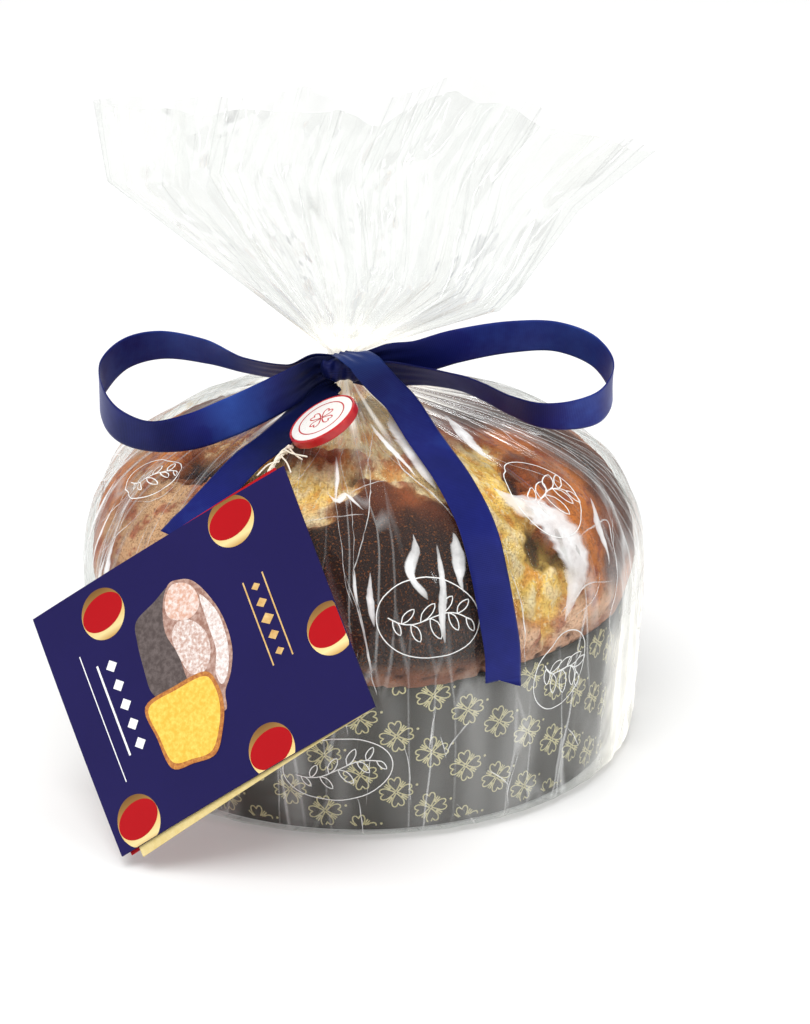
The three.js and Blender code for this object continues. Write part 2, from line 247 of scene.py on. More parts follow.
weave, given, result = new_group("Weave", ("Thread",), ("Height", "Shade"))
cloth = weave.add("ShaderNodeUVMap", uv_map="cloth")
ribs = weave.add("ShaderNodeVectorMath", {0: cloth.outputs["UV"], "Scale": given["Thread"]},
                 operation="SCALE")
across = weave.add("ShaderNodeSeparateXYZ", {0: ribs}).outputs
rib, warp = weave.math("SINE", across["X"]), weave.math("SINE", across["Y"])
weave.feed_all(result, {"Height": weave.math("MULTIPLY_ADD", rib, 0.5, weave.times(warp, 0.3)),
                        "Shade": weave.fit(rib, -1.0, 1.0)})
print("groups:", [g.name for g in bpy.data.node_groups])


# %% [markdown]
# ## Short ways to make meshes
#
# Most pieces are rings or rows of points joined by faces. Points are in millimetres, in numpy arrays.

# %% Mesh helpers
MM = 0.001


def mix(first, second, share):
    return first + (second - first) * share


def smooth(share):
    share = np.clip(share, 0, 1)
    return share * share * (3 - 2 * share)


def rise(value, start, full):
    """0 where value hasn't come past start, 1 past full and smooth between; start may be above full."""
    return smooth((value - start) / (full - start))


def unit(vectors):
    return vectors / np.linalg.norm(vectors, axis=-1, keepdims=True)


def path_runs(points):
    """The length along a line of points up to each of them."""
    return np.concatenate([[0], np.cumsum(np.linalg.norm(np.diff(points, axis=0), axis=1))])


def around(radius, angle, height, x=0, y=0):
    """Points at a radius and an angle round an upright axis."""
    return np.stack([x + radius * np.cos(angle), y + radius * np.sin(angle),
                     np.broadcast_to(height, np.shape(angle))], -1)


def full_turn(count):
    return np.linspace(0, 2 * np.pi, count, endpoint=False)


def stations_at(points, shares):
    """The span between two stations that each share of the way falls in, and how far along it that is."""
    last = len(points) - 1
    place = np.clip(np.asarray(shares, float), 0, 1) * last
    span = np.minimum(place.astype(int), last - 1)
    return span, (place - span)[:, None]


def cubic(start, end, leave, arrive, t):
    """Points between start and end, from the curve's direction where it leaves one and meets the other."""
    bend = -3 * start + 3 * end - 2 * leave - arrive
    return (2 * start - 2 * end + leave + arrive) * t**3 + bend * t**2 + leave * t + start


def catmull(points, shares):
    """Points of the smooth curve through the given points, by share of the stations passed."""
    points = np.asarray(points, float)
    span, t = stations_at(points, shares)
    a, b = points[np.maximum(span - 1, 0)], points[span]
    c, d = points[span + 1], points[np.minimum(span + 2, len(points) - 1)]
    return cubic(b, c, (c - a) / 2, (d - b) / 2, t)


def grid_faces(rows, columns, closed=True, first=0):
    """Quads between rows of points; closed joins the last column to the first."""
    faces = []
    for row in range(rows - 1):
        for i in range(columns if closed else columns - 1):
            a = first + row * columns + i
            b = first + row * columns + (i + 1) % columns
            faces.append((a, b, b + columns, a + columns))
    return faces


def capped_faces(rows, columns):
    """Closed rows of points whose first and last row are closed by two more points, listed last."""
    faces = grid_faces(rows, columns)
    last, low, high = (rows - 1) * columns, rows * columns, rows * columns + 1
    for i in range(columns):
        following = (i + 1) % columns
        faces += [(following, i, low), (last + i, last + following, high)]
    return faces


def roughness_of(points, size, seed, reach=1.0):
    """Smooth noise at each point, from about -reach to reach, with features of the given size."""
    offset = Vector((seed * 17.3, seed * 5.1, seed * 9.7))
    return reach * np.array([noise.noise(Vector(p) / size + offset) for p in points])


def mesh_object(name, points, faces, smooth_shading=True):
    mesh = bpy.data.meshes.new(name)
    mesh.from_pydata((np.asarray(points, float) * MM).tolist(), [], faces)
    mesh.update()
    mesh.validate()
    mesh.shade_smooth() if smooth_shading else mesh.shade_flat()
    made = bpy.data.objects.new(name, mesh)
    bpy.context.collection.objects.link(made)
    return made


def vector_attribute(made, name, values):
    layer = made.data.attributes.new(name, "FLOAT_VECTOR", "POINT")
    layer.data.foreach_set("vector", np.asarray(values, np.float32).ravel())


def value_attribute(made, name, values):
    vector_attribute(made, name, np.repeat(np.asarray(values)[:, None], 3, 1))


def colour_attribute(made, name, values):
    layer = made.data.color_attributes.new(name, "FLOAT_COLOR", "POINT")
    layer.data.foreach_set("color", np.asarray(values, np.float32).ravel())


def uv_map(made, name, values):
    """values: one pair for each point; the map repeats them at each face corner."""
    corners = np.empty(len(made.data.loops), np.int32)
    made.data.loops.foreach_get("vertex_index", corners)
    layer = made.data.uv_layers.new(name=name)
    layer.data.foreach_set("uv", np.asarray(values, np.float32)[corners].ravel())


def finished(made, slot, material=None, *stands_for):
    """Says what the piece rides on, which finish it takes and which solids it stands for; slot is not used.
    """
    if material:
        made.data.materials.clear()
        made.data.materials.append(material)
    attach(made, "root")
    if stands_for:
        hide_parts(*stands_for)
    print(made.name, "has", len(made.data.polygons), "faces")
    return made


def new_material(name):
    """A material with a Principled shader; returns the material, its Tree and that shader."""
    material = bpy.data.materials.new(name)
    material.use_nodes = True
    return material, Tree(material.node_tree), material.node_tree.nodes["Principled BSDF"]


def speckled(name, tones, scale, low, high, roughness, **constants):
    """A finish of two tones in fine speckle; a pair of roughness values follows the speckle too."""
    material, tree, shader = new_material(name)
    mask = tree.speckle(tree.here(), scale, low, high)
    if isinstance(roughness, tuple):
        roughness = tree.fit(mask, 0.0, 1.0, *roughness)
    tree.feed_all(shader, {"Base Color": tree.blend(mask, colour(*tones[0]), colour(*tones[1])),
                           "Roughness": roughness})
    for socket, value in constants.items():
        shader.inputs[socket.replace("_", " ")].default_value = value
    return material


# %% [markdown]
# ## The floor
#
# A plain pale sheet that reaches past the edges of the view. It isn't part of the object.

# %% Floor
FLOOR_HALF = 7.0
floor = bpy.data.objects.new("floor", bpy.data.meshes.new("floor"))
floor.data.from_pydata([(-FLOOR_HALF, -FLOOR_HALF, 0), (FLOOR_HALF, -FLOOR_HALF, 0),
                        (FLOOR_HALF, FLOOR_HALF, 0), (-FLOOR_HALF, FLOOR_HALF, 0)], [], [(0, 1, 2, 3)])
bpy.context.collection.objects.link(floor)
pale, tree, shader = new_material("pale_floor")
cloud_share = tree.times(tree.add("ShaderNodeTexNoise", {"Vector": tree.here(), "Scale": 3.0}), 0.04)
tree.feed_all(shader, {
    "Base Color": tree.blend(cloud_share, (0.76, 0.76, 0.755, 1), (0.68, 0.69, 0.69, 1)),
    "Emission Color": (1, 1, 1, 1), "Emission Strength": 0.19, "Roughness": 0.7, "Specular IOR Level": 0.2})
floor.data.materials.append(pale)
floor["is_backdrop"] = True

# %% [markdown]
# ## The form of the film bag
#
# The bag is one tube of film. Its body follows a profile from the flat base over the shoulder to the
# tie, and its top spreads again as a flat ruffled fan. The same named sizes made the solid, so the
# film, the tails that lie on it and the cake inside it all fit.

# %% Sizes of the bag
BAG_PROFILE = [
    (101, 0), (107, 1.4), (110.5, 5), (112.5, 22), (113.5, 60), (113, 84), (108, 100), (98, 115), (80, 127),
    (55, 137), (30, 143.5), (14, 147.5), (7.5, 151), (7.5, 160),
]
TIE_X, TIE_BOTTOM, TIE_TOP, LEAN_FROM = -6.5, 151, 160, 112
SHOULDER = dict(depth=2.6, low=100, high=151, coarse=11, fine=17)
SIDE = dict(depth=0.9, low=6, high=112, coarse=7, fine=13)
FAN_LEFT = [(-14, 160), (-98, 227.5), (-102, 258.5)]
FAN_RIGHT = [(1, 160), (54, 175.5), (62, 184), (84, 215.5), (113, 239)]
FAN_MOUTH = [(-102, 258.5), (-56, 256.5), (-23, 259), (8, 254), (36, 266), (69, 252.5), (113, 239)]
FAN_DEPTH = dict(tie=7.5, mouth=17)
FAN_RUFFLE = dict(depth=8, coarse=6.5, fine=10.3)

profile_curve = catmull(BAG_PROFILE, np.linspace(0, 1, 1301))
profile_curve[:, 1] = np.maximum(profile_curve[:, 1], 0)


def film_radius(height):
    return np.interp(height, profile_curve[:, 1], profile_curve[:, 0])


def axis_at(height):
    return TIE_X * rise(np.asarray(height, float), LEAN_FROM, TIE_BOTTOM)


def hump(height, zone):
    return np.sin(np.pi * np.clip((height - zone["low"]) / (zone["high"] - zone["low"]), 0, 1))


def wave(angle, zone):
    return 0.65 * np.sin(zone["coarse"] * angle + 0.6) + 0.35 * np.sin(zone["fine"] * angle + 2)


def pleat_reach(height):
    return sum(zone["depth"] * hump(height, zone) for zone in (SHOULDER, SIDE))


def along_path(points, shares):
    points = np.asarray(points, float)
    run = path_runs(points)
    shares = np.asarray(shares, float) * run[-1]
    return np.stack([np.interp(shares, run, points[:, k]) for k in (0, 1)], -1)


def fan_point(across, up):
    """x and z of the gathered top, spread between its four outlines."""
    across, up = across[:, None], np.full(len(across), up)[:, None]
    tie = [FAN_LEFT[0], FAN_RIGHT[0]]
    sides = along_path(FAN_LEFT, up[:, 0]) * (1 - across) + along_path(FAN_RIGHT, up[:, 0]) * across
    ends = along_path(tie, across[:, 0]) * (1 - up) + along_path(FAN_MOUTH, across[:, 0]) * up
    corners = (np.array(tie[0]) * (1 - across) * (1 - up) + np.array(tie[1]) * across * (1 - up)
               + np.array(FAN_MOUTH[0]) * (1 - across) * up + np.array(FAN_MOUTH[-1]) * across * up)
    return sides + ends - corners


print("film radius at mid height:", round(float(film_radius(60)), 1), "mm")

# %% [markdown]
# ## The cake's dome
#
# A tall sweet bread splits as it rises. Smooth dark lobes of crust are pushed apart, and torn golden
# crumb shows between them. The dome is a polar grid. Each lobe or tear is a spot on it, given by its
# azimuth, its distance from the top along the surface and its kind. Every point of the grid takes the
# colour and the height of the spots nearest to it, so the lobes meet like real ones, along wavy edges.

# %% Lobes and tears of the dome
CAKE_PROFILE = [
    (99.5, 1.6), (101, 6), (102, 20), (104, 45), (104.9, 58), (106.6, 65), (108.4, 72), (108.8, 79),
    (107, 90), (101.5, 103), (91, 115), (73, 125.5), (50, 132), (25, 136), (0.01, 137.5),
]
# Each kind's tone, and its height above the dome in mm.
KINDS = {
    "dark": ((36, 19, 14), 0.8),
    "umber": ((92, 42, 20), 0.5),
    "rust": ((154, 78, 34), 0.2),
    "amber": ((214, 124, 46), 0.1),
    "tan": ((208, 164, 122), 0.4),
    "peach": ((250, 204, 168), -0.6),
    "crumb": ((255, 214, 112), -3.2),
    "straw": ((255, 224, 160), -2.2),
    # The near-black tone of the deepest tears is painted shade; their depth below the dome is real.
    "hollow": ((34, 16, 11), -6.5),
}
HOLLOW_SHRINKS = 3.4
TORN_KINDS = ("crumb", "straw", "hollow")
# Each kind's places, as azimuth in degrees and distance from the top in mm.
PLACES = {
    "dark": [
        (-97, 98), (-99, 108), (-93, 89), (-90, 104), (-92, 118), (-87, 88), (-84, 98), (-81, 110),
        (-85, 122), (-77, 90), (-76, 105), (-74, 120), (-69, 106), (-80, 134), (-74, 133), (-68, 122),
        (-67, 137), (-87, 134), (-72, 92), (-94, 132), (-66, 112), (-10, 46), (-3, 54), (-2, 64), (-5, 74),
        (-8, 85), (-11, 96), (112, 78), (116, 104), (112, 132), (92, 92), (92, 120),
    ],
    "umber": [
        (-86, 77), (-81, 72), (-71, 79), (-68, 86), (-93, 83), (-15, 88), (-14, 104), (-113, 50),
        (-159, 130), (-11, 56), (-9, 106), (-17, 122), (-150, 59), (8, 60), (3, 46), (-12, 116), (-27, 73),
        (-24, 118), (-27, 127), (-17, 100), (-136, 58), (-128, 86), (-130, 128), (160, 72), (90, 142),
        (46, 82), (48, 110), (22, 126), (25, 38), (-158, 60), (176, 60), (2, 84), (4, 108),
    ],
    "rust": [
        (-76, 74), (-22, 52), (-17, 68), (-17, 77), (-20, 110), (-24, 84), (-163, 128), (-156, 123),
        (-159, 105), (-99, 48), (-172, 112), (-174, 126), (-157, 130), (-150, 137), (-30, 48), (12, 120),
        (-151, 52), (-152, 44), (-154, 36),
    ],
    "amber": [
        (-71, 52), (-20, 58), (-23, 62), (-21, 70), (-22, 79), (-21, 88), (-26, 92), (-28, 100), (-34, 90),
        (-31, 115), (-34, 124), (-33, 133), (-37, 102), (-18, 142), (-178, 104), (-163, 128), (-164, 84),
        (-171, 74), (-171, 65), (-167, 102), (-88, 50), (180, 118), (156, 96), (158, 124), (46, 136),
        (24, 70), (22, 98), (6, 138), (70, 40), (-130, 14),
    ],
    "tan": [
        (-162, 138), (-160, 118), (-153, 109), (-151, 98), (-144, 108), (-151, 124), (-147, 92), (-162, 96),
        (-138, 92), (-140, 104), (-142, 132), (-153, 136), (178, 88), (176, 138),
    ],
    "peach": [
        (-54, 143), (-47, 153), (-40, 151), (-32, 150), (-32, 142), (-43, 141), (-58, 136),
    ],
    "crumb": [
        (-112, 68), (-106, 79), (-111, 80), (-103, 71), (-45, 71), (-50, 80), (-52, 89), (-54, 99),
        (-55, 107), (-55, 116), (-54, 127), (-50, 134), (-38, 60), (-46, 130), (-49, 123), (-45, 121),
        (-116, 92), (-118, 114), (-118, 136), (136, 84), (138, 108), (136, 134), (70, 70), (69, 122),
        (67, 146), (150, 44), (120, 12), (-137, 51), (-130, 64), (-56, 92), (-57, 108),
    ],
    "straw": [
        (-113, 58), (-103, 60), (-83, 46), (-91, 53), (-80, 59), (-73, 62), (-68, 70), (-96, 72), (-62, 76),
        (-70, 44), (-134, 34), (-151, 60), (-148, 53), (71, 96), (110, 42), (-60, 64), (-98, 34), (-86, 26),
        (-62, 30), (-80, 38), (-76, 46), (-95, 47), (-99, 53), (-111, 30), (-116, 68), (-110, 78),
        (-104, 84), (0, 8), (-96, 14), (-52, 44), (-64, 58),
    ],
    "hollow": [
        (-106, 48), (-89, 60), (-38, 80), (-47, 112), (-32, 78), (-43, 117), (-149, 66), (-153, 69),
        (-147, 72), (-147, 78), (-150, 83), (-153, 77), (-157, 74), (-28, 86), (-26, 80),
    ],
}
SPOTS = [(azimuth, distance, kind) for kind, places in PLACES.items() for azimuth, distance in places]
EDGE_SOFTNESS, CRUST_SOFTNESS, TORN_SOFTNESS = 1.5, 2.8, 1.6
CAKE_COLUMNS, CAKE_ROWS = 400, 210
CAKE_LEAN = 0.35

cake_curve = catmull(CAKE_PROFILE, np.linspace(0, 1, 2001))
cake_run = path_runs(cake_curve)
cake_length = cake_run[-1]
row_runs = np.linspace(0, cake_length, CAKE_ROWS + 1)[:-1]
run_grid, angle_grid = [g.ravel() for g in np.meshgrid(row_runs, full_turn(CAKE_COLUMNS), indexing="ij")]
radius, height = [np.interp(run_grid, cake_run, cake_curve[:, k]) for k in (0, 1)]
down = cake_length - run_grid
plain = around(radius, angle_grid, height)
print("dome grid:", len(plain), "points; length from top to base", round(float(cake_length)), "mm")

# %% [markdown]
# The plan of the dome is unrolled, so that distances on it are true near the top and close to true
# further down. Noise moves each point a little before it looks for its spots, which makes the edges
# ragged.

# %% Colour and relief of the dome
def noise_sum(points, parts):
    """Noises added up, each given as size in mm, seed and reach."""
    return sum(roughness_of(points, *part) for part in parts)


wander = np.stack([noise_sum(plain, [(14, seed, 5.5), (5, seed + 3, 3.0), (2.2, seed + 6, 1.6)])
                   for seed in (1, 2)], -1)
plan = around(down, angle_grid, 0)[:, :2] + wander
nearest = []
for azimuth, distance, kind in SPOTS:
    centre = around(distance, np.radians(azimuth), 0)[:2]
    nearest.append(np.linalg.norm(plan - centre, axis=1) + HOLLOW_SHRINKS * (kind == "hollow"))
nearest = np.array(nearest)
torn = np.array([kind in TORN_KINDS for _, _, kind in SPOTS])
tones = np.array([colour(*KINDS[kind][0]) for _, _, kind in SPOTS])
raised = np.array([KINDS[kind][1] for _, _, kind in SPOTS])


def blended(chosen, softness):
    """Tone and height from the chosen spots, which run into one another over softness in mm."""
    distance = nearest[chosen]
    weight = np.exp(-(distance - distance.min(0)) / softness)
    weight /= weight.sum(0)
    return weight.T @ tones[chosen], weight.T @ raised[chosen], distance.min(0)


crust_tone, crust_lift, crust_distance = blended(~torn, CRUST_SOFTNESS)
torn_tone, torn_lift, torn_distance = blended(torn, TORN_SOFTNESS)
crumb_share = 1 / (1 + np.exp((torn_distance - crust_distance) / EDGE_SOFTNESS))
tone = mix(crust_tone, torn_tone, crumb_share[:, None])
lift = mix(crust_lift, torn_lift, crumb_share)

# Fibres run down from the top in the tears, the crust is finely pimpled, and pits line the lowest band.
fibre = noise_sum(around(30, angle_grid, down / 9), [(1.1, 5, 1.0), (0.45, 6, 0.5)])
pimples = noise_sum(plain, [(2.6, 7, 1.0), (1.2, 8, 0.5)])
swell = noise_sum(plain, [(22, 9, 1.3)])
pits = np.minimum(roughness_of(plain, 3.4, 11) + 0.15, 0)
fluff = noise_sum(plain, [(9, 17, 1.2), (3.2, 18, 0.35)]) + 0.9 * fibre
skirt = rise(height, 74, 66) * rise(height, 50, 56)  # the band of crust above the case's rim
lift = lift + swell + crumb_share * (1.2 * fluff + 0.3 * pimples)
lift = lift + (1 - crumb_share) * 0.4 * pimples + skirt * 3.2 * pits
lift *= rise(height, 58, 66)
print("relief of the dome:", round(float(lift.min()), 1), "to", round(float(lift.max()), 1), "mm")

# %% Tones of the dome
TONES = {name: np.array(colour(*tone)) for name, tone in dict(
    band=(172, 106, 74), pink=(206, 152, 122), gold=(224, 148, 62), pale=(255, 238, 196),
    toasted=(164, 84, 36), deep=(62, 32, 22), red=(158, 70, 40)).items()}
blotch = smooth((roughness_of(plain, 9, 12) + 0.15) * 1.6)
clusters = smooth((noise_sum(plain, [(7, 14, 1.0), (2.4, 15, 0.6)]) - 0.18) * 4)
toasted = 4 * crumb_share * (1 - crumb_share)
soft_crumb = crumb_share * rise(torn_lift, -5, -3.4)
pale_crust = smooth((tone[:, 0] - 0.25) * 6) * (1 - crumb_share)
band_tone = mix(TONES["band"], TONES["pink"], blotch[:, None])
# Gold in the crumb's low places and pale on its raised fluff are painted shade and painted highlight, and the
# deep tone in the band's pits is painted shade; toasted rims, red clusters and the mottled band are the
# bread's own colours.
for added, share in (
        (TONES["toasted"], 0.7 * toasted), (TONES["gold"], 0.8 * soft_crumb * smooth(-1.4 * fluff)),
        (TONES["pale"], 0.7 * soft_crumb * smooth(1.4 * fluff)), (TONES["red"], 0.75 * pale_crust * clusters),
        (band_tone, 0.62 * skirt), (TONES["deep"], skirt * smooth(-2.5 * pits))):
    tone = mix(tone, added, share[:, None])
tone *= (1 + noise_sum(plain, [(16, 13, 0.3), (5, 16, 0.2)]))[:, None]
tone[:, 3] = 1

slope = np.gradient(cake_curve, axis=0)
slope_out, slope_up = [np.interp(run_grid, cake_run, slope[:, k]) for k in (0, 1)]
steepness = np.hypot(slope_out, slope_up)
outward, upward = slope_up / steepness, -slope_out / steepness
reach = radius + outward * lift
dome = around(reach, angle_grid, height + upward * lift)
dome[:, 0] += axis_at(dome[:, 2]) * CAKE_LEAN
base, top = CAKE_PROFILE[0][1], CAKE_PROFILE[-1][1]
points = np.vstack([dome, [(0, 0, base), (axis_at(top) * CAKE_LEAN, 0, top)]])
cake = mesh_object("cake", points, capped_faces(CAKE_ROWS, CAKE_COLUMNS))
colour_attribute(cake, "baked", np.vstack([tone, tone[:1], tone[-1:]]))
value_attribute(cake, "torn", np.append(soft_crumb, [0, 0.5]))
streaks = around(50, angle_grid, down / 2.8)
vector_attribute(cake, "streaks", np.vstack([streaks, streaks[:1], streaks[-1:]]))

# %% [markdown]
# The crust's finish starts from those tones. Fine speckles darken and lighten it, since a dark crust is
# covered with small paler points, and the crumb is rougher than the crust. In the crumb, the strands are
# painted lighter and the gaps between them darker: painted highlight and painted shade. The bump follows
# the same speckles, so light and form agree.

# %% Crust and crumb finish
baked, tree, shader = new_material("baked_crust")
coords = tree.here()
tone_in, torn_in = tree.read("baked", "Color"), tree.read("torn")
fine = tree.speckle(coords, 1250.0, 0.54, 0.65)
dark_spots = tree.speckle(coords, 620.0, 0.55, 0.66)
strands = tree.speckle(tree.read("streaks", "Vector"), 1.0, 0.34, 0.64)
crust_only = tree.math("SUBTRACT", 1.0, torn_in, clamp=True)
fine_share = tree.times(fine, tree.math("MULTIPLY_ADD", crust_only, 0.38, 0.1))
lighter = tree.blend(fine_share, tone_in, colour(206, 122, 64))
dark_share = tree.times(dark_spots, tree.math("MULTIPLY_ADD", crust_only, 0.26, 0.14))
spotted = tree.blend(dark_share, lighter, colour(50, 26, 18))
# Darker between the crumb's strands and lighter on them: painted shade and painted highlight.
shade_between_strands = tree.times(torn_in, tree.fit(strands, 0.0, 0.6, 0.26, 0.0))
drawn = tree.blend(shade_between_strands, spotted, colour(188, 112, 46))
lit_strands = tree.times(torn_in, tree.fit(strands, 0.7, 1.0, 0.0, 0.7))
tree.feed_all(shader, {
    "Base Color": tree.blend(lit_strands, drawn, colour(255, 238, 190)),
    "Roughness": tree.fit(torn_in, 0.0, 1.0, 0.5, 0.85), "Specular IOR Level": 0.3})
strand_relief = tree.times(tree.times(strands, torn_in), 0.35)
tree.bump(shader, tree.math("MULTIPLY_ADD", fine, 0.6, strand_relief), 0.8, 0.0008)
finished(cake, "crust", baked)

# %% [markdown]
# ## The paper case
#
# The case is a strip of dark printed paper, bent to a ring and closed by a disc. Geometry Nodes can do
# just that: a flat grid is wrapped round the cake by one small group, and the print, laid out on the flat
# sheet, is wrapped by the same group. So the clovers lie on the paper wherever it goes.

# %% Wrap round the case
CASE = dict(foot=102.2, rim=106.2, height=62.5, lift=0.9)
PAPER = 0.5


def new_geometry_tree(name, inputs):
    """A Geometry Nodes tree with a geometry input and output and the named inputs."""
    tree = bpy.data.node_groups.new(name, "GeometryNodeTree")
    for direction in ("INPUT", "OUTPUT"):
        tree.interface.new_socket("Geometry", in_out=direction, socket_type="NodeSocketGeometry")
    for socket, (kind, value) in inputs.items():
        made = tree.interface.new_socket(socket, in_out="INPUT", socket_type="NodeSocket" + kind)
        if value is not None:
            made.default_value = value
    made = Tree(tree)
    return made, made.add("NodeGroupInput").outputs, made.add("NodeGroupOutput").inputs["Geometry"]


wrap, given, result = new_geometry_tree(
    "Wrap round the case", {"Foot": ("Float", CASE["foot"] * MM), "Rim": ("Float", CASE["rim"] * MM),
                            "Height": ("Float", CASE["height"] * MM), "Lift": ("Float", CASE["lift"] * MM)})
flat = wrap.add("ShaderNodeSeparateXYZ", {0: wrap.add("GeometryNodeInputPosition").outputs[0]})
share = wrap.math("DIVIDE", flat.outputs["Y"], given["Height"])
widening = wrap.math("SUBTRACT", given["Rim"], given["Foot"])
ring = wrap.math("ADD", given["Foot"], wrap.times(share, widening))
mean = wrap.times(wrap.math("ADD", given["Foot"], given["Rim"]), 0.5)
turn = wrap.math("DIVIDE", flat.outputs["X"], mean)
cosine, sine = wrap.math("COSINE", turn), wrap.math("SINE", turn)
on_ring = wrap.add("ShaderNodeCombineXYZ", {0: cosine, 1: sine})
uneven = wrap.add("ShaderNodeTexNoise", {"Vector": on_ring, "Scale": 3.2, "Detail": 1.0})
sway = wrap.times(wrap.math("SUBTRACT", uneven, 0.5), 0.0011)
out = wrap.math("ADD", wrap.math("ADD", ring, wrap.times(sway, share)), flat.outputs["Z"])
wrapped = wrap.add("ShaderNodeCombineXYZ", {
    0: wrap.times(out, cosine), 1: wrap.times(out, sine),
    2: wrap.math("ADD", flat.outputs["Y"], given["Lift"])})
moved = wrap.add("GeometryNodeSetPosition", {"Geometry": given["Geometry"], "Position": wrapped})
wrap.feed(result, moved)
CASE_ROUND = 2 * math.pi * (CASE["foot"] + CASE["rim"]) / 2
print("the flat strip is", round(CASE_ROUND), "mm long")

# %% [markdown]
# The print is a clover of four hearts drawn in a thin gold line, with two short strokes between the
# hearts, and a dot beside each clover. One clover is drawn as a flat mesh. Geometry Nodes then repeat it
# on a slanting grid, as a printing roller does, and cut off what would fall past the paper's edges.


# %% One clover
DOT_SIDES = 8


def stroke_mesh(lines, width):
    """Flat strips of the given width along lines of points, and dots where a line is one point."""
    points, faces = [], []
    for line in lines:
        line = np.asarray(line, float)
        first = len(points)
        if len(line) == 1:
            points += around(width, full_turn(DOT_SIDES), 0, *line[0]).tolist()
            faces.append(tuple(range(first, len(points))))
            continue
        along = np.gradient(line, axis=0)
        along /= np.linalg.norm(along, axis=1)[:, None]
        side = np.stack([-along[:, 1], along[:, 0]], -1) * width / 2
        for place, offset in zip(line, side):
            points += [(*(place - offset), 0), (*(place + offset), 0)]
        for k in range(len(line) - 1):
            a = first + 2 * k
            faces.append((a, a + 2, a + 3, a + 1))
    return points, faces


def turned(points, angle):
    c, s = math.cos(angle), math.sin(angle)
    return [(x * c - y * s, x * s + y * c) for x, y in points]


CLOVER_SIZE = 6.3
CLOVER_TILT = math.radians(9)
HEART = [(0, 0.06), (0.2, 0.34), (0.37, 0.66), (0.33, 0.94), (0.14, 0.98), (0, 0.78)]
right_half = catmull([(x * CLOVER_SIZE, y * CLOVER_SIZE) for x, y in HEART], np.linspace(0, 1, 12))
heart = np.vstack([right_half, right_half[::-1][1:] * (-1, 1)])
clover_lines = []
for quarter in range(4):
    angle = CLOVER_TILT + quarter * math.pi / 2
    clover_lines.append(turned(heart, angle))
    for lean in (-0.09, 0.09):
        stroke = [(0, 0.42 * CLOVER_SIZE), (0, 0.86 * CLOVER_SIZE)]
        clover_lines.append(turned(stroke, angle + math.pi / 4 + lean))
clover_lines.append([(8.0, 2.6)])
LINE_WIDTH, FILM_LINE_WIDTH = 0.55, 0.42
clover = mesh_object("clover_print", *stroke_mesh(clover_lines, LINE_WIDTH), smooth_shading=False)
print("one clover has", len(clover.data.polygons), "faces")

# %% Repeat the clover with Geometry Nodes
repeat, given, result = new_geometry_tree("Clover print", {
    "Clover": ("Object", None), "Columns": ("Int", 48), "Rows": ("Int", 4), "Round": ("Float", 0.1),
    "Rise": ("Float", 0.01), "Slant": ("Float", 0.01), "Height": ("Float", 0.06),
    "Margin": ("Float", 0.0005), "Lift": ("Float", 0.0001), "Ink": ("Material", None)})
lattice = repeat.add("GeometryNodeMeshGrid", {
    "Size X": given["Round"], "Size Y": 1.0, "Vertices X": given["Columns"], "Vertices Y": given["Rows"]})
number = repeat.add("GeometryNodeInputIndex").outputs[0]
column = repeat.math("FLOOR", repeat.math("DIVIDE", repeat.math("ADD", number, 0.1), given["Rows"]))
row = repeat.math("SUBTRACT", number, repeat.times(column, given["Rows"]))
pitch = repeat.math("DIVIDE", given["Round"], given["Columns"])
stepped = repeat.times(repeat.math("MODULO", column, 3.0), given["Slant"])
spot_y = repeat.math("SUBTRACT", repeat.times(row, given["Rise"]), stepped)
spot = repeat.add("ShaderNodeCombineXYZ", {0: repeat.times(column, pitch), 1: spot_y, 2: given["Lift"]})
laid = repeat.add("GeometryNodeSetPosition", {"Geometry": lattice, "Position": spot})
motif = repeat.add("GeometryNodeObjectInfo", {"Object": given["Clover"]})
copies = repeat.add("GeometryNodeInstanceOnPoints", {
    "Points": laid, "Instance": motif.outputs["Geometry"]})
real = repeat.add("GeometryNodeRealizeInstances", {"Geometry": copies})
position = repeat.add("GeometryNodeInputPosition").outputs[0]
there = repeat.add("ShaderNodeSeparateXYZ", {0: position}).outputs["Y"]
top = repeat.math("SUBTRACT", given["Height"], given["Margin"])
past = [repeat.add("FunctionNodeCompare", {0: there, 1: edge}, data_type="FLOAT", operation=side).outputs[0]
        for edge, side in ((given["Margin"], "LESS_THAN"), (top, "GREATER_THAN"))]
outside = repeat.add("FunctionNodeBooleanMath", {0: past[0], 1: past[1]}, operation="OR")
trimmed = repeat.add("GeometryNodeDeleteGeometry", {"Geometry": real, "Selection": outside},
                     domain="POINT", mode="ALL")
bent = repeat.add("GeometryNodeGroup", {"Geometry": trimmed}, node_tree=wrap.tree)
inked = repeat.add("GeometryNodeSetMaterial", {"Geometry": bent, "Material": given["Ink"]})
repeat.feed(result, inked)


def grown(name, tree_name, values, source=None):
    """Runs a Geometry Nodes tree on a helper, with inputs set by name; returns a plain mesh object."""
    helper = source or bpy.data.objects.new(name + "_helper", bpy.data.meshes.new(name))
    if source is None:
        bpy.context.collection.objects.link(helper)
    tree = bpy.data.node_groups[tree_name]
    modifier = helper.modifiers.new(tree_name, "NODES")
    modifier.node_group = tree
    sockets = {item.name: item.identifier for item in tree.interface.items_tree if item.in_out == "INPUT"}
    for socket, value in values.items():
        modifier[sockets[socket]] = value
    helper.update_tag()
    depsgraph = bpy.context.evaluated_depsgraph_get()
    mesh = bpy.data.meshes.new_from_object(helper.evaluated_get(depsgraph))
    mesh.name = name
    bpy.data.objects.remove(helper)
    made = bpy.data.objects.new(name, mesh)
    bpy.context.collection.objects.link(made)
    return made


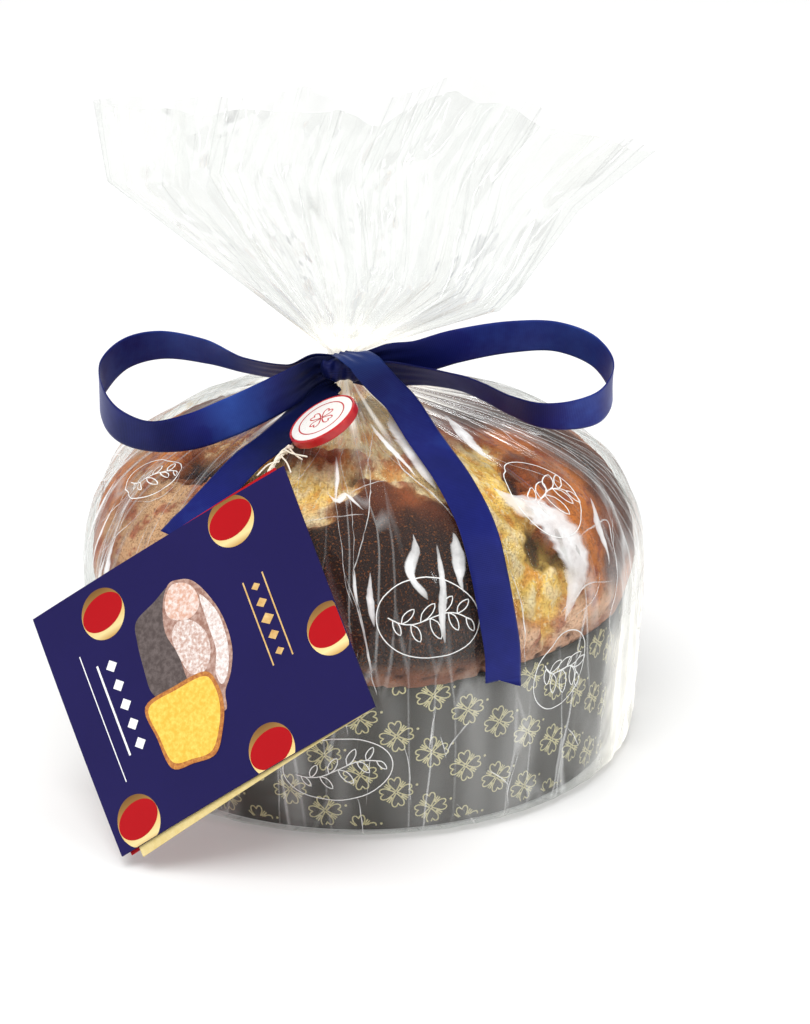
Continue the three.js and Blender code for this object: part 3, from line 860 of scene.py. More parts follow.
gold_ink = speckled("gold_ink", ((186, 176, 124), (232, 226, 180)), 1500.0, 0.35, 0.7, (0.35, 0.5),
                    Metallic=0.25)
PITCH_UP = 24.0
clovers = grown("case_clovers", "Clover print", {
    "Clover": clover, "Columns": 48, "Rows": 4, "Round": CASE_ROUND * MM, "Rise": PITCH_UP * MM,
    "Slant": PITCH_UP / 3 * MM, "Height": CASE["height"] * MM, "Margin": 1.4 * MM,
    "Lift": 0.09 * MM, "Ink": gold_ink})
bpy.data.objects.remove(clover)
finished(clovers, "case_paper", None)

# %% [markdown]
# The wall of the case is the same wrap on a fine grid. A disc closes the bottom, and Solidify gives the
# paper its thickness, inwards, so the print stays on the outer face.

# %% Case wall
wall, given, result = new_geometry_tree("Case wall", {
    "Round": ("Float", 0.1), "Height": ("Float", 0.06), "Columns": ("Int", 240), "Rows": ("Int", 20),
    "Paper": ("Material", None)})
sheet = wall.add("GeometryNodeMeshGrid", {
    "Size X": given["Round"], "Size Y": given["Height"],
    "Vertices X": given["Columns"], "Vertices Y": given["Rows"]})
shift = wall.add("ShaderNodeCombineXYZ", {1: wall.times(given["Height"], 0.5)})
raised_sheet = wall.add("GeometryNodeSetPosition", {"Geometry": sheet, "Offset": shift})
bent = wall.add("GeometryNodeGroup", {"Geometry": raised_sheet}, node_tree=wrap.tree)
joined = wall.add("GeometryNodeMergeByDistance", {"Geometry": bent, "Distance": 0.00002})
painted = wall.add("GeometryNodeSetMaterial", {"Geometry": joined, "Material": given["Paper"]})
wall.feed(result, painted)

paper, tree, shader = new_material("case_paper")
coords = tree.here()
fibres = tree.speckle(coords, 260.0, 0.3, 0.75)
crease_share = tree.times(tree.creases(coords, 28.0, 0.02), 0.1)
dark_paper = tree.blend(fibres, colour(40, 37, 29), colour(57, 52, 42))
tree.feed_all(shader, {"Base Color": tree.blend(crease_share, dark_paper, colour(112, 100, 90)),
                       "Roughness": tree.fit(fibres, 0.0, 1.0, 0.5, 0.68)})
tree.bump(shader, fibres, 0.15, 0.0003)

case = grown("paper_case", "Case wall", {
    "Round": CASE_ROUND * MM, "Height": CASE["height"] * MM, "Columns": 241, "Rows": 18, "Paper": paper})
case_mesh = bmesh.new()
case_mesh.from_mesh(case.data)
foot_edges = [e for e in case_mesh.edges if e.is_boundary and all(v.co.z < 0.003 for v in e.verts)]
centre = case_mesh.verts.new((0, 0, CASE["lift"] * MM))
for edge in foot_edges:
    case_mesh.faces.new((*edge.verts, centre))
bmesh.ops.recalc_face_normals(case_mesh, faces=case_mesh.faces)
if next(iter(centre.link_faces)).normal.z > 0:
    bmesh.ops.reverse_faces(case_mesh, faces=case_mesh.faces)
case_mesh.to_mesh(case.data)
case_mesh.free()
case.data.shade_smooth()
thick = case.modifiers.new("paper", "SOLIDIFY")
thick.thickness = PAPER * MM
thick.offset = -1
finished(case, "case_paper", paper)

# %% [markdown]
# ## The film
#
# The film is a single sheet. Under the tie it hangs in folds that run together towards the tie. Above
# it, the sheet opens again in pleats. Ridged noise gives folds with sharp crests, like film and unlike
# cloth, and it is read from an angle and a length along the sheet, so that the folds run the right way.

# %% Film mesh
FILM_COLUMNS, BODY_ROWS, FAN_ROWS = 480, 132, 62
BASE_RINGS = [(0.01, 0), (35, 0), (70, 0), (90, 0)]
FIRST_FOLD_SEED = 21
SHEET_UNIT = 100  # mm of film for one unit of the sheet's own coordinates


def ridges(points, seed):
    """Folds with sharp crests: 0 on a crest, down to about -1 between crests."""
    return -np.abs(roughness_of(points, 1, seed, 2.0))


profile_runs = path_runs(profile_curve)
body_runs = np.linspace(0, profile_runs[-1], BODY_ROWS)
sheet_angle = np.pi * (1 + 2 * np.arange(FILM_COLUMNS) / FILM_COLUMNS)
rings, runs = [], []
for ring_radius, ring_height in BASE_RINGS:
    rings.append(around(ring_radius, sheet_angle, ring_height))
    runs.append(around(1, sheet_angle, (ring_radius - BAG_PROFILE[0][0]) / SHEET_UNIT))

for run in body_runs:
    ring_radius, ring_height = [np.interp(run, profile_runs, profile_curve[:, k]) for k in (0, 1)]
    reach = ring_radius + sum(zone["depth"] * hump(ring_height, zone) * wave(sheet_angle, zone)
                              for zone in (SHOULDER, SIDE))
    bearing = around(1, sheet_angle, run / SHEET_UNIT)
    upper = rise(ring_height, 70, 110) * min(1, ring_radius / 40)
    lower = rise(ring_height, 26, 8) * rise(ring_height, 0, 5)
    middle = rise(ring_height, 0, 20) * rise(ring_height, 110, 70)
    near_tie = rise(ring_height, 143, 149)
    # Each set of folds: its depth in mm, and how closely it repeats round the sheet and along it.
    folds = [(1.7 * upper, 9, 0.9), (0.8 * upper, 20, 1.6), (1.3 * middle, 7, 1.5), (1.2 * lower, 12, 6),
             (0.35 * middle, 16, 9), (0.6 * near_tie, 4, 0.5)]
    for number, (depth, round_count, along_count) in enumerate(folds):
        stretched = bearing * (round_count, round_count, along_count)
        reach = reach + depth * ridges(stretched, FIRST_FOLD_SEED + number)
    rings.append(around(reach, sheet_angle, ring_height, axis_at(ring_height)))
    runs.append(bearing)

half_count = FILM_COLUMNS // 2
index = np.arange(FILM_COLUMNS)
back = index > half_count
step = np.where(back, FILM_COLUMNS - index, index) / half_count
for row in range(1, FAN_ROWS + 1):
    up = row / FAN_ROWS
    half = mix(FAN_DEPTH["tie"], FAN_DEPTH["mouth"], up**0.8)
    ruffle = FAN_RUFFLE["depth"] * up**0.7
    across = mix((1 - np.cos(np.pi * step)) / 2, step, 0.85 * up)
    turns = 2 * np.pi * across + np.where(back, 1.9, 0)
    fold = 0.7 * np.sin(FAN_RUFFLE["coarse"] * turns) + 0.3 * np.sin(FAN_RUFFLE["fine"] * turns + 2)
    lane = np.stack([across * 1.6, np.where(back, 3.0, 0.0), np.full(FILM_COLUMNS, up * 0.5)], -1)
    crisp = (4.2 * up**0.6 * (0.5 + ridges(lane * 7, 31))
             + 2.0 * up**0.5 * (0.5 + ridges(lane * (19, 1, 9), 32)) + up * ridges(lane * (16, 1, 22), 33))
    depth = 2 * np.sqrt(across * (1 - across)) * (half + ruffle * fold + crisp)
    flat_place = fan_point(across, up)
    rings.append(np.stack([flat_place[:, 0], np.where(back, depth, -depth), flat_place[:, 1]], -1))
    runs.append(around(1, sheet_angle, body_runs[-1] / SHEET_UNIT + up * 1.1))
film_points, sheet_runs = np.vstack(rings), np.vstack(runs)
film = mesh_object("film_bag", film_points, grid_faces(len(rings), FILM_COLUMNS))
vector_attribute(film, "sheet", sheet_runs)

# How milky the film is, and where light is painted into it: milk in the fan; a whitish painted reflection
# over the case and at the right edge; and round the neck and under the tie a white that also drives the
# finish's cream emission, a painted glow.
film_x, film_y, film_z = film_points.T
milk = smooth(roughness_of(sheet_runs * (3, 3, 0.8), 1, 41, 1.2) + 0.25)
patchy_reflection = smooth(roughness_of(sheet_runs * (8, 8, 0.7), 1, 42, 1.6) + 0.35)
gathered = smooth(roughness_of(sheet_runs * (12, 12, 0.5), 1, 43, 1.8) + 0.5)
above_tie, over_case = rise(film_z, TIE_TOP, TIE_TOP + 12), rise(film_z, 70, 56)
below_tie = rise(film_z, 131, 145) * (film_z < TIE_BOTTOM)
from_neck = np.abs(film_z - 158)
right_side = rise(film_x, 30, 90) * rise(film_y, 60, 0)
milk_and_painted_light = milk * (0.04 + 0.5 * above_tie) + 0.36 * above_tie + over_case * (0.1 + 0.5 * patchy_reflection)
milk_and_painted_light += 2.6 * np.exp(-(from_neck / 7) ** 2) + 0.5 * np.exp(-(from_neck / 16) ** 2)
milk_and_painted_light += below_tie * (0.5 + 1.1 * gathered)
milk_and_painted_light += 0.2 * over_case * right_side
milk_and_painted_light += 0.9 * rise(film_x, 90, 104) * rise(film_z, 100, 80)
value_attribute(film, "milk_and_painted_light", milk_and_painted_light)

# %% [markdown]
# Clear film lets light through, mirrors a little of the room at every angle and nearly all of it at a
# glancing angle. So its finish mixes a transparent and a mirroring shader. Layer Weight gives the
# glancing share, and the creases add thin lines and patches where the film mirrors more.

# %% Film finish
clear, tree, shader = new_material("clear_film")
stretch = tree.add("ShaderNodeVectorMath", {0: tree.read("sheet", "Vector"), 1: (11.0, 11.0, 1.3)},
                   operation="MULTIPLY").outputs[0]
glancing = tree.add("ShaderNodeLayerWeight", {"Blend": 0.5}).outputs["Facing"]
edge = tree.math("POWER", glancing, 4.4)
milk_and_light_in = tree.read("milk_and_painted_light")
share = tree.math("MULTIPLY_ADD", edge, 0.85, 0.03)
share = tree.math("MULTIPLY_ADD", milk_and_light_in, 0.3, share)
share = tree.math("MULTIPLY_ADD", tree.creases(stretch, 1.0, 0.05), 0.4, share, clamp=True)
ripple = tree.add("ShaderNodeTexNoise", {"Vector": tree.here(), "Scale": 110.0, "Detail": 1.0})
# Where the film is milkiest, round the neck, it is mixed towards a white finish and given a cream emission: a
# painted glow that lights the film in the ribbon's shade.
tree.feed_all(shader, {
    "Base Color": (0.93, 0.94, 0.935, 1), "Metallic": tree.fit(milk_and_light_in, 0.5, 1.5, 0.75, 0.0),
    "Roughness": tree.fit(milk_and_light_in, 0.5, 1.5, 0.11, 0.3),
    "Emission Color": tree.blend(tree.fit(milk_and_light_in, 0.6, 1.6), (0, 0, 0, 1), (0.48, 0.45, 0.38, 1)),
    "Emission Strength": 1.0})
tree.bump(shader, ripple, 0.4, 0.0012)
through = tree.add("ShaderNodeBsdfTransparent",
                   {"Color": tree.blend(edge, (0.965, 0.972, 0.962, 1), (0.72, 0.76, 0.74, 1))})
both = tree.add("ShaderNodeMixShader", {0: share, 1: through.outputs[0], 2: shader.outputs[0]})
tree.feed(clear.node_tree.nodes["Material Output"].inputs["Surface"], both.outputs[0])
finished(film, "film", clear, "bag")

# %% [markdown]
# Inside the tie the sheet is bunched up. A short star of pleats fills the neck, so that it is closed when
# seen from above.

# %% Gathered film in the neck
GATHER = dict(bottom=149, top=165, pleats=14, rows=12, columns=224, core=1.4, hold=6.0)
turns = full_turn(GATHER["columns"])
rings = []
for share in np.linspace(0, 1, GATHER["rows"]):
    depth = 0.5 + 0.5 * np.cos(GATHER["pleats"] * turns + 1.5 * share + 0.9 * np.sin(3 * turns))
    reach = GATHER["core"] + (GATHER["hold"] - GATHER["core"]) * depth
    level = mix(GATHER["bottom"], GATHER["top"], share) + 1.2 * depth * share
    rings.append(around(reach, turns, level, TIE_X))
ends = [[(TIE_X, 0, GATHER["bottom"] + 1)], [(TIE_X, 0, GATHER["top"] - 3)]]
gather_points = np.vstack(rings + ends)
gather = mesh_object("film_gather", gather_points, capped_faces(GATHER["rows"], GATHER["columns"]))
vector_attribute(gather, "sheet", gather_points / SHEET_UNIT)
# The gathered film is milky white all over and takes the full painted glow.
value_attribute(gather, "milk_and_painted_light", np.full(len(gather_points), 2.2))
finished(gather, "film", clear, "bag")
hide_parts("bag")
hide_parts("bag")
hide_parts("bag")

# %% [markdown]
# ## Painted highlights and print on the film
#
# Where the film is creased it catches the light in a thin white line, and on broad folds in a wide bright
# patch. Both are painted highlights: thin white strips laid just off the film, and wider strips for the
# broad patches, the shines. A place on the film is an azimuth in degrees and a run in mm, measured up the
# film from its base. The highlights at the front are where the photograph has them. The others are drawn
# at random, with a fixed seed, along the same directions.

# %% Places on the film
LEAST_RADIUS, HIGHEST_PLACE = 6, 0.995
FILM_GRID = film_points.reshape(-1, FILM_COLUMNS, 3)
round_film = np.roll(FILM_GRID, -1, 1) - np.roll(FILM_GRID, 1, 1)
FILM_OUT = unit(np.cross(round_film, np.gradient(FILM_GRID, axis=0)))


def on_film(azimuths, film_runs, lift):
    """Points that stand off the film by lift."""
    column = (np.asarray(azimuths, float) / 360 - 0.5) * FILM_COLUMNS
    up = np.clip(np.asarray(film_runs, float) / body_runs[-1], 0, HIGHEST_PLACE)
    row = len(BASE_RINGS) + up * (BODY_ROWS - 1)
    c, r = np.floor(column).astype(int), np.floor(row).astype(int)
    c_part, r_part = (column - c)[:, None], (row - r)[:, None]
    place = 0
    for dr, r_share in ((0, 1 - r_part), (1, r_part)):
        for dc, c_share in ((0, 1 - c_part), (1, c_part)):
            spot = (r + dr, (c + dc) % FILM_COLUMNS)
            place = place + r_share * c_share * (FILM_GRID[spot] + lift * FILM_OUT[spot])
    return place


def ground_at(run):
    """The film's radius at a run."""
    return np.interp(run, profile_runs, profile_curve[:, 0])


def spread(azimuth, run, u, v):
    """Azimuths and runs of places u mm sideways and v mm up the film from azimuth and run."""
    return azimuth + np.degrees(u / np.maximum(ground_at(run), LEAST_RADIUS)), run + v


STRIP_COLUMNS = ((-1, 0.0), (-0.7, 0.8), (0, 1.0), (0.7, 0.8), (1, 0.0))


def film_strips(name, lines, lift, step=1.6, ragged=0.35):
    """Strips through stations of azimuth, run and width, with an attribute that fades their edges."""
    points, faces, cover = [], [], []
    for number, stations in enumerate(lines):
        stations = np.asarray(stations, float)
        ground = ground_at(stations[:, 1])
        length = np.sum(np.hypot(np.diff(np.radians(stations[:, 0])) * ground[1:], np.diff(stations[:, 1])))
        count = max(7, int(length / step))
        middle = catmull(stations, np.linspace(0, 1, count))
        radius = np.maximum(ground_at(middle[:, 1]), LEAST_RADIUS)
        flat = np.stack([np.radians(middle[:, 0]) * radius, middle[:, 1]], -1)
        along = unit(np.gradient(flat, axis=0) + 1e-9)
        taper = np.sin(np.pi * np.linspace(0.03, 0.97, count)) ** 0.5
        sway = roughness_of(np.column_stack([flat, np.full(count, 3.1 * number)]), 7, 51, ragged * 2)
        half = middle[:, 2] / 2 * taper
        tear = 1 + ragged * roughness_of(np.column_stack([flat, np.full(count, number)]), 2.5, 52, 1.6)
        first = len(points)
        for offset, shown in STRIP_COLUMNS:
            shift = sway + half * offset * tear
            azimuth, run = spread(middle[:, 0], middle[:, 1], -along[:, 1] * shift, along[:, 0] * shift)
            points += on_film(azimuth, run, lift + 0.1 * shown).tolist()
            cover += (shown * taper).tolist()
        faces += grid_faces(len(STRIP_COLUMNS), count, closed=False, first=first)
    made = mesh_object(name, points, faces)
    value_attribute(made, "cover", cover)
    return made


# %% Painted highlights along the film's creases
# Each painted crease highlight: its width in mm, and its stations as azimuth and run.
FOLD_HIGHLIGHTS = [
    (0.5, [(-95, 171), (-95, 150), (-93, 116), (-91, 103)]),
    (0.6, [(-83, 183), (-84, 160), (-87, 140), (-91, 116), (-90, 104)]),
    (0.45, [(-91, 179), (-93, 168), (-91, 146), (-91, 125), (-91, 116)]),
    (0.5, [(-69, 202), (-82, 171), (-86, 157)]),
    (0.4, [(-98, 192), (-101, 175), (-105, 160), (-108, 149)]),
    (1.1, [(-71, 180), (-73, 161), (-69, 148), (-67, 135)]),
    (0.6, [(-78, 177), (-74, 164), (-70, 150), (-67, 138)]),
    (0.8, [(-59, 193), (-63, 174), (-64, 157), (-66, 144)]),
    (0.8, [(-91, 150), (-88, 153), (-84, 155), (-79, 154)]),
    (0.7, [(-102, 135), (-96, 138), (-88, 140)]),
    (0.5, [(-21, 186), (-14, 163), (-12, 139), (-16, 121)]),
    (0.35, [(-43, 168), (-40, 154), (-33, 140), (-29, 124)]),
    (1.3, [(-32, 183), (-40, 173), (-43, 163), (-42, 156)]),
    (0.8, [(-93, 116), (-90, 100), (-88, 81), (-87, 69)]),
    (0.45, [(-91, 111), (-89, 93), (-88, 76)]),
    (0.9, [(-38, 114), (-32, 114), (-25, 112), (-26, 103), (-28, 93)]),
    (1.0, [(-19, 117), (-26, 102), (-30, 85), (-33, 76), (-29, 49)]),
    (0.8, [(-58, 110), (-57, 99), (-57, 85), (-57, 72)]),
    (0.4, [(-58, 127), (-58, 110)]),
    (0.8, [(-48, 89), (-44, 92), (-40, 96), (-31, 91)]),
    (0.4, [(-21, 173), (-25, 162), (-27, 149)]),
    (0.5, [(-35, 98), (-38, 90), (-44, 86)]),
    (0.6, [(-163, 103), (-157, 120), (-157, 138), (-156, 150)]),
    (0.5, [(-153, 123), (-147, 126), (-144, 132), (-145, 143), (-151, 154)]),
    (0.5, [(-158, 94), (-150, 112), (-146, 126)]),
]
highlight_lines = [[(azimuth, run, width) for azimuth, run in stations] for width, stations in FOLD_HIGHLIGHTS]
QUARTERS, THIRDS = (0, 0.35, 0.7, 1), (0, 0.4, 1)
draw = np.random.default_rng(7)
for _ in range(120):
    azimuth, run, length = draw.uniform(-20, 250), draw.uniform(130, 222), draw.uniform(30, 110)
    drift, width = draw.uniform(-9, 9), draw.uniform(0.25, 0.8)
    highlight_lines.append([(azimuth + drift * t + 3 * t * t, run - length * t, width) for t in QUARTERS])
for _ in range(26):
    azimuth, length, width = draw.uniform(-110, -15), draw.uniform(20, 60), draw.uniform(0.2, 0.45)
    highlight_lines.append([(azimuth + 2.5 * t, 224 - length * t, width) for t in QUARTERS])
for _ in range(64):
    azimuth, run, length = draw.uniform(-180, 180), draw.uniform(4, 60), draw.uniform(14, 46)
    lean, width = draw.uniform(-6, 6), draw.uniform(0.25, 0.7)
    highlight_lines.append([(azimuth + lean * t, run + length * t * (1 - 0.3 * t), width) for t in THIRDS])
# The crease lines are white strips: painted highlights.
folds = film_strips("film_folds", highlight_lines, 0.12)

# Each shine is a painted highlight patch, given by its stations, as azimuth, run and width; the broad one
# comes first.
BROAD_SHINE = [
    (-51, 143, 3), (-49.5, 138, 11), (-46.5, 132, 16), (-43.5, 125, 19), (-42, 118, 20), (-41.5, 110, 18),
    (-42.5, 101, 14), (-45, 92, 8), (-47, 85, 1),
]
SHINES = [
    [(-60, 198, 3), (-64, 188, 8), (-65, 178, 12), (-66, 166, 11), (-67.5, 156, 7), (-67, 149, 2)],
    [(-76, 190, 1), (-75, 182, 4), (-73, 172, 5), (-71, 162, 3), (-70, 155, 1)],
    [(-61, 178, 1), (-63, 168, 5), (-65, 158, 2)],
    [(-77.5, 128, 1), (-77.7, 122, 6), (-79.6, 116, 5), (-79, 111, 3), (-77.4, 107, 4), (-76.4, 104, 1)],
    [(-68.5, 128, 4), (-69, 118, 7), (-69.5, 110, 3), (-69, 105, 1)],
    [(-72.8, 123, 2), (-73, 110, 3.5), (-74, 98, 4), (-73.6, 87, 1.5)],
    [(-87.8, 116, 1), (-87.8, 107, 3.4), (-87.6, 101, 3), (-87.2, 96, 1)],
    [(-97, 149, 1), (-94.5, 146, 4), (-92, 149, 3), (-90, 146, 5), (-88, 142, 1)],
    [(-91, 117, 1), (-90.7, 110, 2), (-90.3, 103, 1)],
    [(-31.5, 184, 2), (-37, 174, 5), (-42, 162, 6), (-43, 155, 1)],
    [(-94.5, 170, 2), (-94.3, 158, 3), (-95, 144, 1)],
    [(-27, 124, 1), (-29.5, 113, 6), (-30, 104, 3), (-31, 98, 1)],
]
SHINES.insert(0, BROAD_SHINE)
for _ in range(22):
    azimuth, run, length = draw.uniform(0, 215), draw.uniform(95, 165), draw.uniform(18, 42)
    width, drift = draw.uniform(2, 6), draw.uniform(-4, 4)
    SHINES.append([(azimuth + drift * t, run - length * t, 0.8 + width * math.sin(math.pi * t))
                   for t in (0, 0.3, 0.6, 1)])
shines = film_strips("film_shines", SHINES, 0.16, step=1.2, ragged=0.2)

# %% [markdown]
# The film also bears a thin white print: a plain oval round a leafy sprig. It is drawn flat and then laid
# on the film at a few places.

# %% Print on the film
# azimuth, run, half width and half height of the oval, tilt in degrees
OVALS = [
    (-76.6, 97, 20, 15, -12), (-39.4, 133, 15, 18, -20), (-47.9, 66, 12, 16, -35), (-94.3, 38, 21, 13, 8),
    (-152.9, 135, 14, 10, 35), (-5, 66, 16, 13, 20), (35, 110, 18, 14, -10), (75, 50, 18, 14, 12),
    (112, 118, 18, 14, -8), (150, 60, 18, 14, 15), (178, 110, 16, 13, 10),
]
LEAF = np.array([(0, 0), (0.3, 0.2), (0.7, 0.18), (1, 0), (0.7, -0.16), (0.3, -0.14), (0, 0)])
LEAVES, PRINT_LIFT = 9, 0.22


def sprig(across, up, tilt):
    """The lines of an oval with a wavy stem in it, which bears leaves in turn above and below."""
    def on_stem(x):
        return x * across, 0.2 * up * np.sin(3.4 * x)

    turns = np.linspace(0, 2 * np.pi, 49)
    lines = [np.stack([across * np.cos(turns), up * np.sin(turns)], -1),
             np.stack(on_stem(np.linspace(-0.78, 0.78, 25)), -1)]
    for k, x in enumerate(np.linspace(-0.68, 0.72, LEAVES)):
        leaf = catmull(LEAF * up * (0.62 - 0.3 * abs(x)), np.linspace(0, 1, 13))
        lines.append(np.array(turned(leaf, math.radians(58 if k % 2 else -52))) + on_stem(x))
    return [turned(line, math.radians(tilt)) for line in lines]


points, faces = [], []
for azimuth, run, across, up, tilt in OVALS:
    flat, new_faces = stroke_mesh(sprig(across, up, tilt), FILM_LINE_WIDTH)
    flat = np.array(flat)
    places = spread(azimuth, run, flat[:, 0], flat[:, 1])
    faces += [tuple(len(points) + i for i in face) for face in new_faces]
    points += on_film(*places, PRINT_LIFT).tolist()
film_print = mesh_object("film_print", points, faces)


# %% Finish of the painted highlights and the print
def film_highlight(name, tone, weakest, strongest, metallic):
    """A pale finish for painted highlights, which fades at the edges of a strip, where the attribute cover
    falls to nothing.
    """
    material, tree, shader = new_material(name)
    broken = tree.speckle(tree.here(), 130.0, 0.3, 0.6)
    shown = tree.times(tree.fit(broken, 0.0, 1.0, weakest, strongest), tree.read("cover"))
    tree.feed_all(shader, {"Base Color": tone, "Metallic": metallic, "Alpha": shown,
                           "Roughness": tree.fit(broken, 0.0, 1.0, 0.35, 0.2)})
    return material


finished(folds, "film", film_highlight("painted_fold_highlight", (0.97, 0.975, 0.965, 1), 0.15, 0.85, 0.25))
finished(shines, "film", film_highlight("film_shine", (0.99, 0.99, 0.985, 1), 0.62, 1.0, 0.0))
white_ink = speckled("white_ink", ((226, 228, 226), (250, 250, 248)), 800.0, 0.3, 0.6, 0.45)
finished(film_print, "film", white_ink)

# %% [markdown]
# ## The ribbon
#
# The ribbon is a flat satin strip, 15 mm wide. Each loop and tail is swept along its middle line, with
# the strip's width turned by a second line of directions. Near the knot the strip is gathered, so it
# narrows and folds lengthwise. Its face is gently crowned, and it thins out at its two edges.

# %% Sizes of the ribbon
RIBBON = dict(width=15, gathered=9, taper=0.13, thickness=0.4455, edge=0.12)
LEFT_LOOP = [
    (-10, -13.5, 157.2, 0), (-17, -11.5, 156.5, -20), (-28, -10, 153.5, -50), (-46, -5, 154.5, -48),
    (-62, -1, 159, -32), (-80, 1, 161, -25), (-93, -4, 159, -18), (-101, -18, 153, 0), (-99, -33, 147, 0),
    (-92, -43, 142.5, -10), (-80, -48, 140, -20), (-65, -48, 141.7, -5), (-50, -44, 146.2, 10),
    (-37, -38, 150.6, 14), (-25, -28, 154.2, 8), (-17, -17.5, 156.4, 0), (-10, -15.5, 157, 0),
]
RIGHT_LOOP = [
    (-3, -13.5, 157.6, 0), (4, -11.5, 158, -10), (12, -12, 159, -10), (22, -13, 160.5, -14),
    (36, -14, 165, -12), (58, -11, 168, -17), (77, -8, 167, -23), (91, -12, 162, -20), (97, -24, 154.5, -6),
    (92, -36, 148.5, -12), (80, -43, 146.8, -24), (68, -43, 146.8, -33), (57, -38, 149, -42),
    (47, -32, 152.3, -46), (37, -24.5, 153.8, -50), (24, -18, 154.3, -45), (12, -15.5, 154.3, -30),
    (4, -15.6, 154, -10), (-3, -15.5, 155, 0),
]
FRONT_TAIL = dict(
    start=[(-8.5, -14.5, 162.4), (-4, -19.5, 163), (1, -22.6, 161.4), (3.6, -25.2, 159), (8.5, -29, 154.5),
           (15, -34, 149.3)],
    film=[(-59.5, 137), (-62.5, 127), (-63.8, 116), (-63.8, 103), (-63.6, 89), (-62.8, 75), (-62.6, 63)],
    gleam=[(0, 0.75), (0.08, 1.0), (0.2, 0.85), (0.32, 0.55), (0.5, 0.5), (0.62, 0.55), (0.75, 0.42),
           (1, 0.5)],
    slant=8)
LEFT_TAIL = dict(
    start=[(-10, -14.5, 149.8)],
    film=[(-115, 146.5), (-116.5, 140.5), (-119.5, 136), (-123, 131.5), (-124.8, 126), (-126.6, 120.5),
          (-128.8, 114.5), (-131, 109.5)],
    gleam=[(0, 0.0), (0.25, 0.1), (0.45, 0.22), (0.7, 0.38), (1, 0.45)],
    slant=-7)
TAIL_LIFT = 1.2


SAME_PLACE = SMALL_SHARE = 1e-4
STRIP_HALF = 18


def centripetal(points, shares):
    """The smooth curve that passes each station without overshooting where stations lie close."""
    points = np.asarray(points, float)
    ends = np.vstack([2 * points[:1] - points[1:2], points, 2 * points[-1:] - points[-2:-1]])
    span, t = stations_at(points, shares)
    a, b, c, d = (ends[span + k] for k in range(4))
    da, db, dc = [np.sqrt(np.linalg.norm(q - p, axis=1))[:, None] for p, q in ((a, b), (b, c), (c, d))]
    db = np.where(db < SAME_PLACE, 1, db)
    da, dc = np.where(da < SAME_PLACE, db, da), np.where(dc < SAME_PLACE, db, dc)
    v0 = ((b - a) / da - (c - a) / (da + db) + (c - b) / db) * db
    v1 = ((c - b) / db - (d - b) / (db + dc) + (d - c) / dc) * db
    return cubic(b, c, v0, v1, t)


def ribbon_strip(name, line, across, steps, both_ends, gleam, slant=0.0):
    """Sweeps the strip and gives it its thickness, its crown and its gathers."""
    def open_share(share, reach):
        """0 where the strip is gathered, at its start or at both ends, and 1 past that."""
        return smooth((min(share, 1 - share) if both_ends else share) / (reach * RIBBON["taper"]))

    gather_reach = 1.6 if both_ends else 1.5
    shares = np.linspace(0, 1, steps + 1)
    ahead = centripetal(line, np.minimum(shares + SMALL_SHARE, 1))
    along = unit(ahead - centripetal(line, np.maximum(shares - SMALL_SHARE, 0)))
    width = centripetal(across, shares)
    width = unit(width - along * np.sum(width * along, axis=1)[:, None])
    out = unit(np.cross(along, width))
    centre = centripetal(line, shares)
    span = np.linspace(-1, 1, STRIP_HALF)
    rings, cloth = [], []
    bands = np.interp(shares, *np.transpose(gleam))
    lengths = path_runs(centre)
    columns = 2 * STRIP_HALF
    for k, share in enumerate(shares):
        reach = mix(RIBBON["gathered"], RIBBON["width"], open_share(share, 1)) / 2
        gather = float(1 - open_share(share, gather_reach))
        ease = 1 - span**2
        folds = gather * 0.5 * np.sin(3.2 * np.pi * span + 0.8 + 2.0 * share) * np.sqrt(ease)
        crown = 0.12 * ease + folds
        skin = np.full(STRIP_HALF, RIBBON["thickness"] / 2)
        skin[[0, -1]] = RIBBON["edge"] / 2
        skew = along[k] * slant / 2 * span[:, None] * (share == 1)
        middle = centre[k] + width[k] * span[:, None] * reach + skew
        front = middle + out[k] * (crown + skin)[:, None]
        rear = middle + out[k] * (crown - skin)[:, None]
        rings.append(np.vstack([rear, front[::-1]]))
        cloth.append(np.stack([np.full(columns, lengths[k]), np.append(span, span[::-1]) * reach], -1))
    faces = grid_faces(len(rings), columns)
    last = (len(rings) - 1) * columns
    for k in range(STRIP_HALF - 1):
        faces.append((k, columns - 1 - k, columns - 2 - k, k + 1)[::-1])
        faces.append((last + k, last + columns - 1 - k, last + columns - 2 - k, last + k + 1))
    made = mesh_object(name, np.vstack(rings), [f[::-1] for f in faces])
    uv_map(made, "cloth", np.vstack(cloth))
    value_attribute(made, "gleam", np.repeat(bands, columns))
    return made


def off_film(azimuth, height, lift):
    slope = (film_radius(height + 1) - film_radius(height - 1)) / 2
    normal = np.array([1, -slope]) / math.hypot(1, slope)
    clear_of = pleat_reach(height) + lift
    reach = film_radius(height) + normal[0] * clear_of
    angle = math.radians(azimuth)
    return (axis_at(height) + reach * math.cos(angle), reach * math.sin(angle),
            height + normal[1] * clear_of)


# %% [markdown]
# Satin is deep blue. Its long threads send light back along the strip, so bright and dark bands follow
# every bend. The attribute "gleam" holds those bands: 0 where the strip turns from the light, near the
# knot and inside a bend, and 1 where it catches it. A partly metallic shader and sheen add the edge glow.

# %% Satin finish
satin, tree, shader = new_material("blue_satin")
coords = tree.here()
threads = tree.add("ShaderNodeGroup", {"Thread": 9.0}, node_tree=bpy.data.node_groups["Weave"]).outputs
uneven = tree.speckle(coords, 26.0, 0.36, 0.66)
# Darker towards the knot, by distance from it: painted shade.
from_knot = tree.add("ShaderNodeVectorMath", {0: coords, 1: (-0.0065, -0.02, 0.152)}, operation="DISTANCE")
open_share = tree.fit(from_knot.outputs["Value"], 0.012, 0.05, 0.3, 1.0)
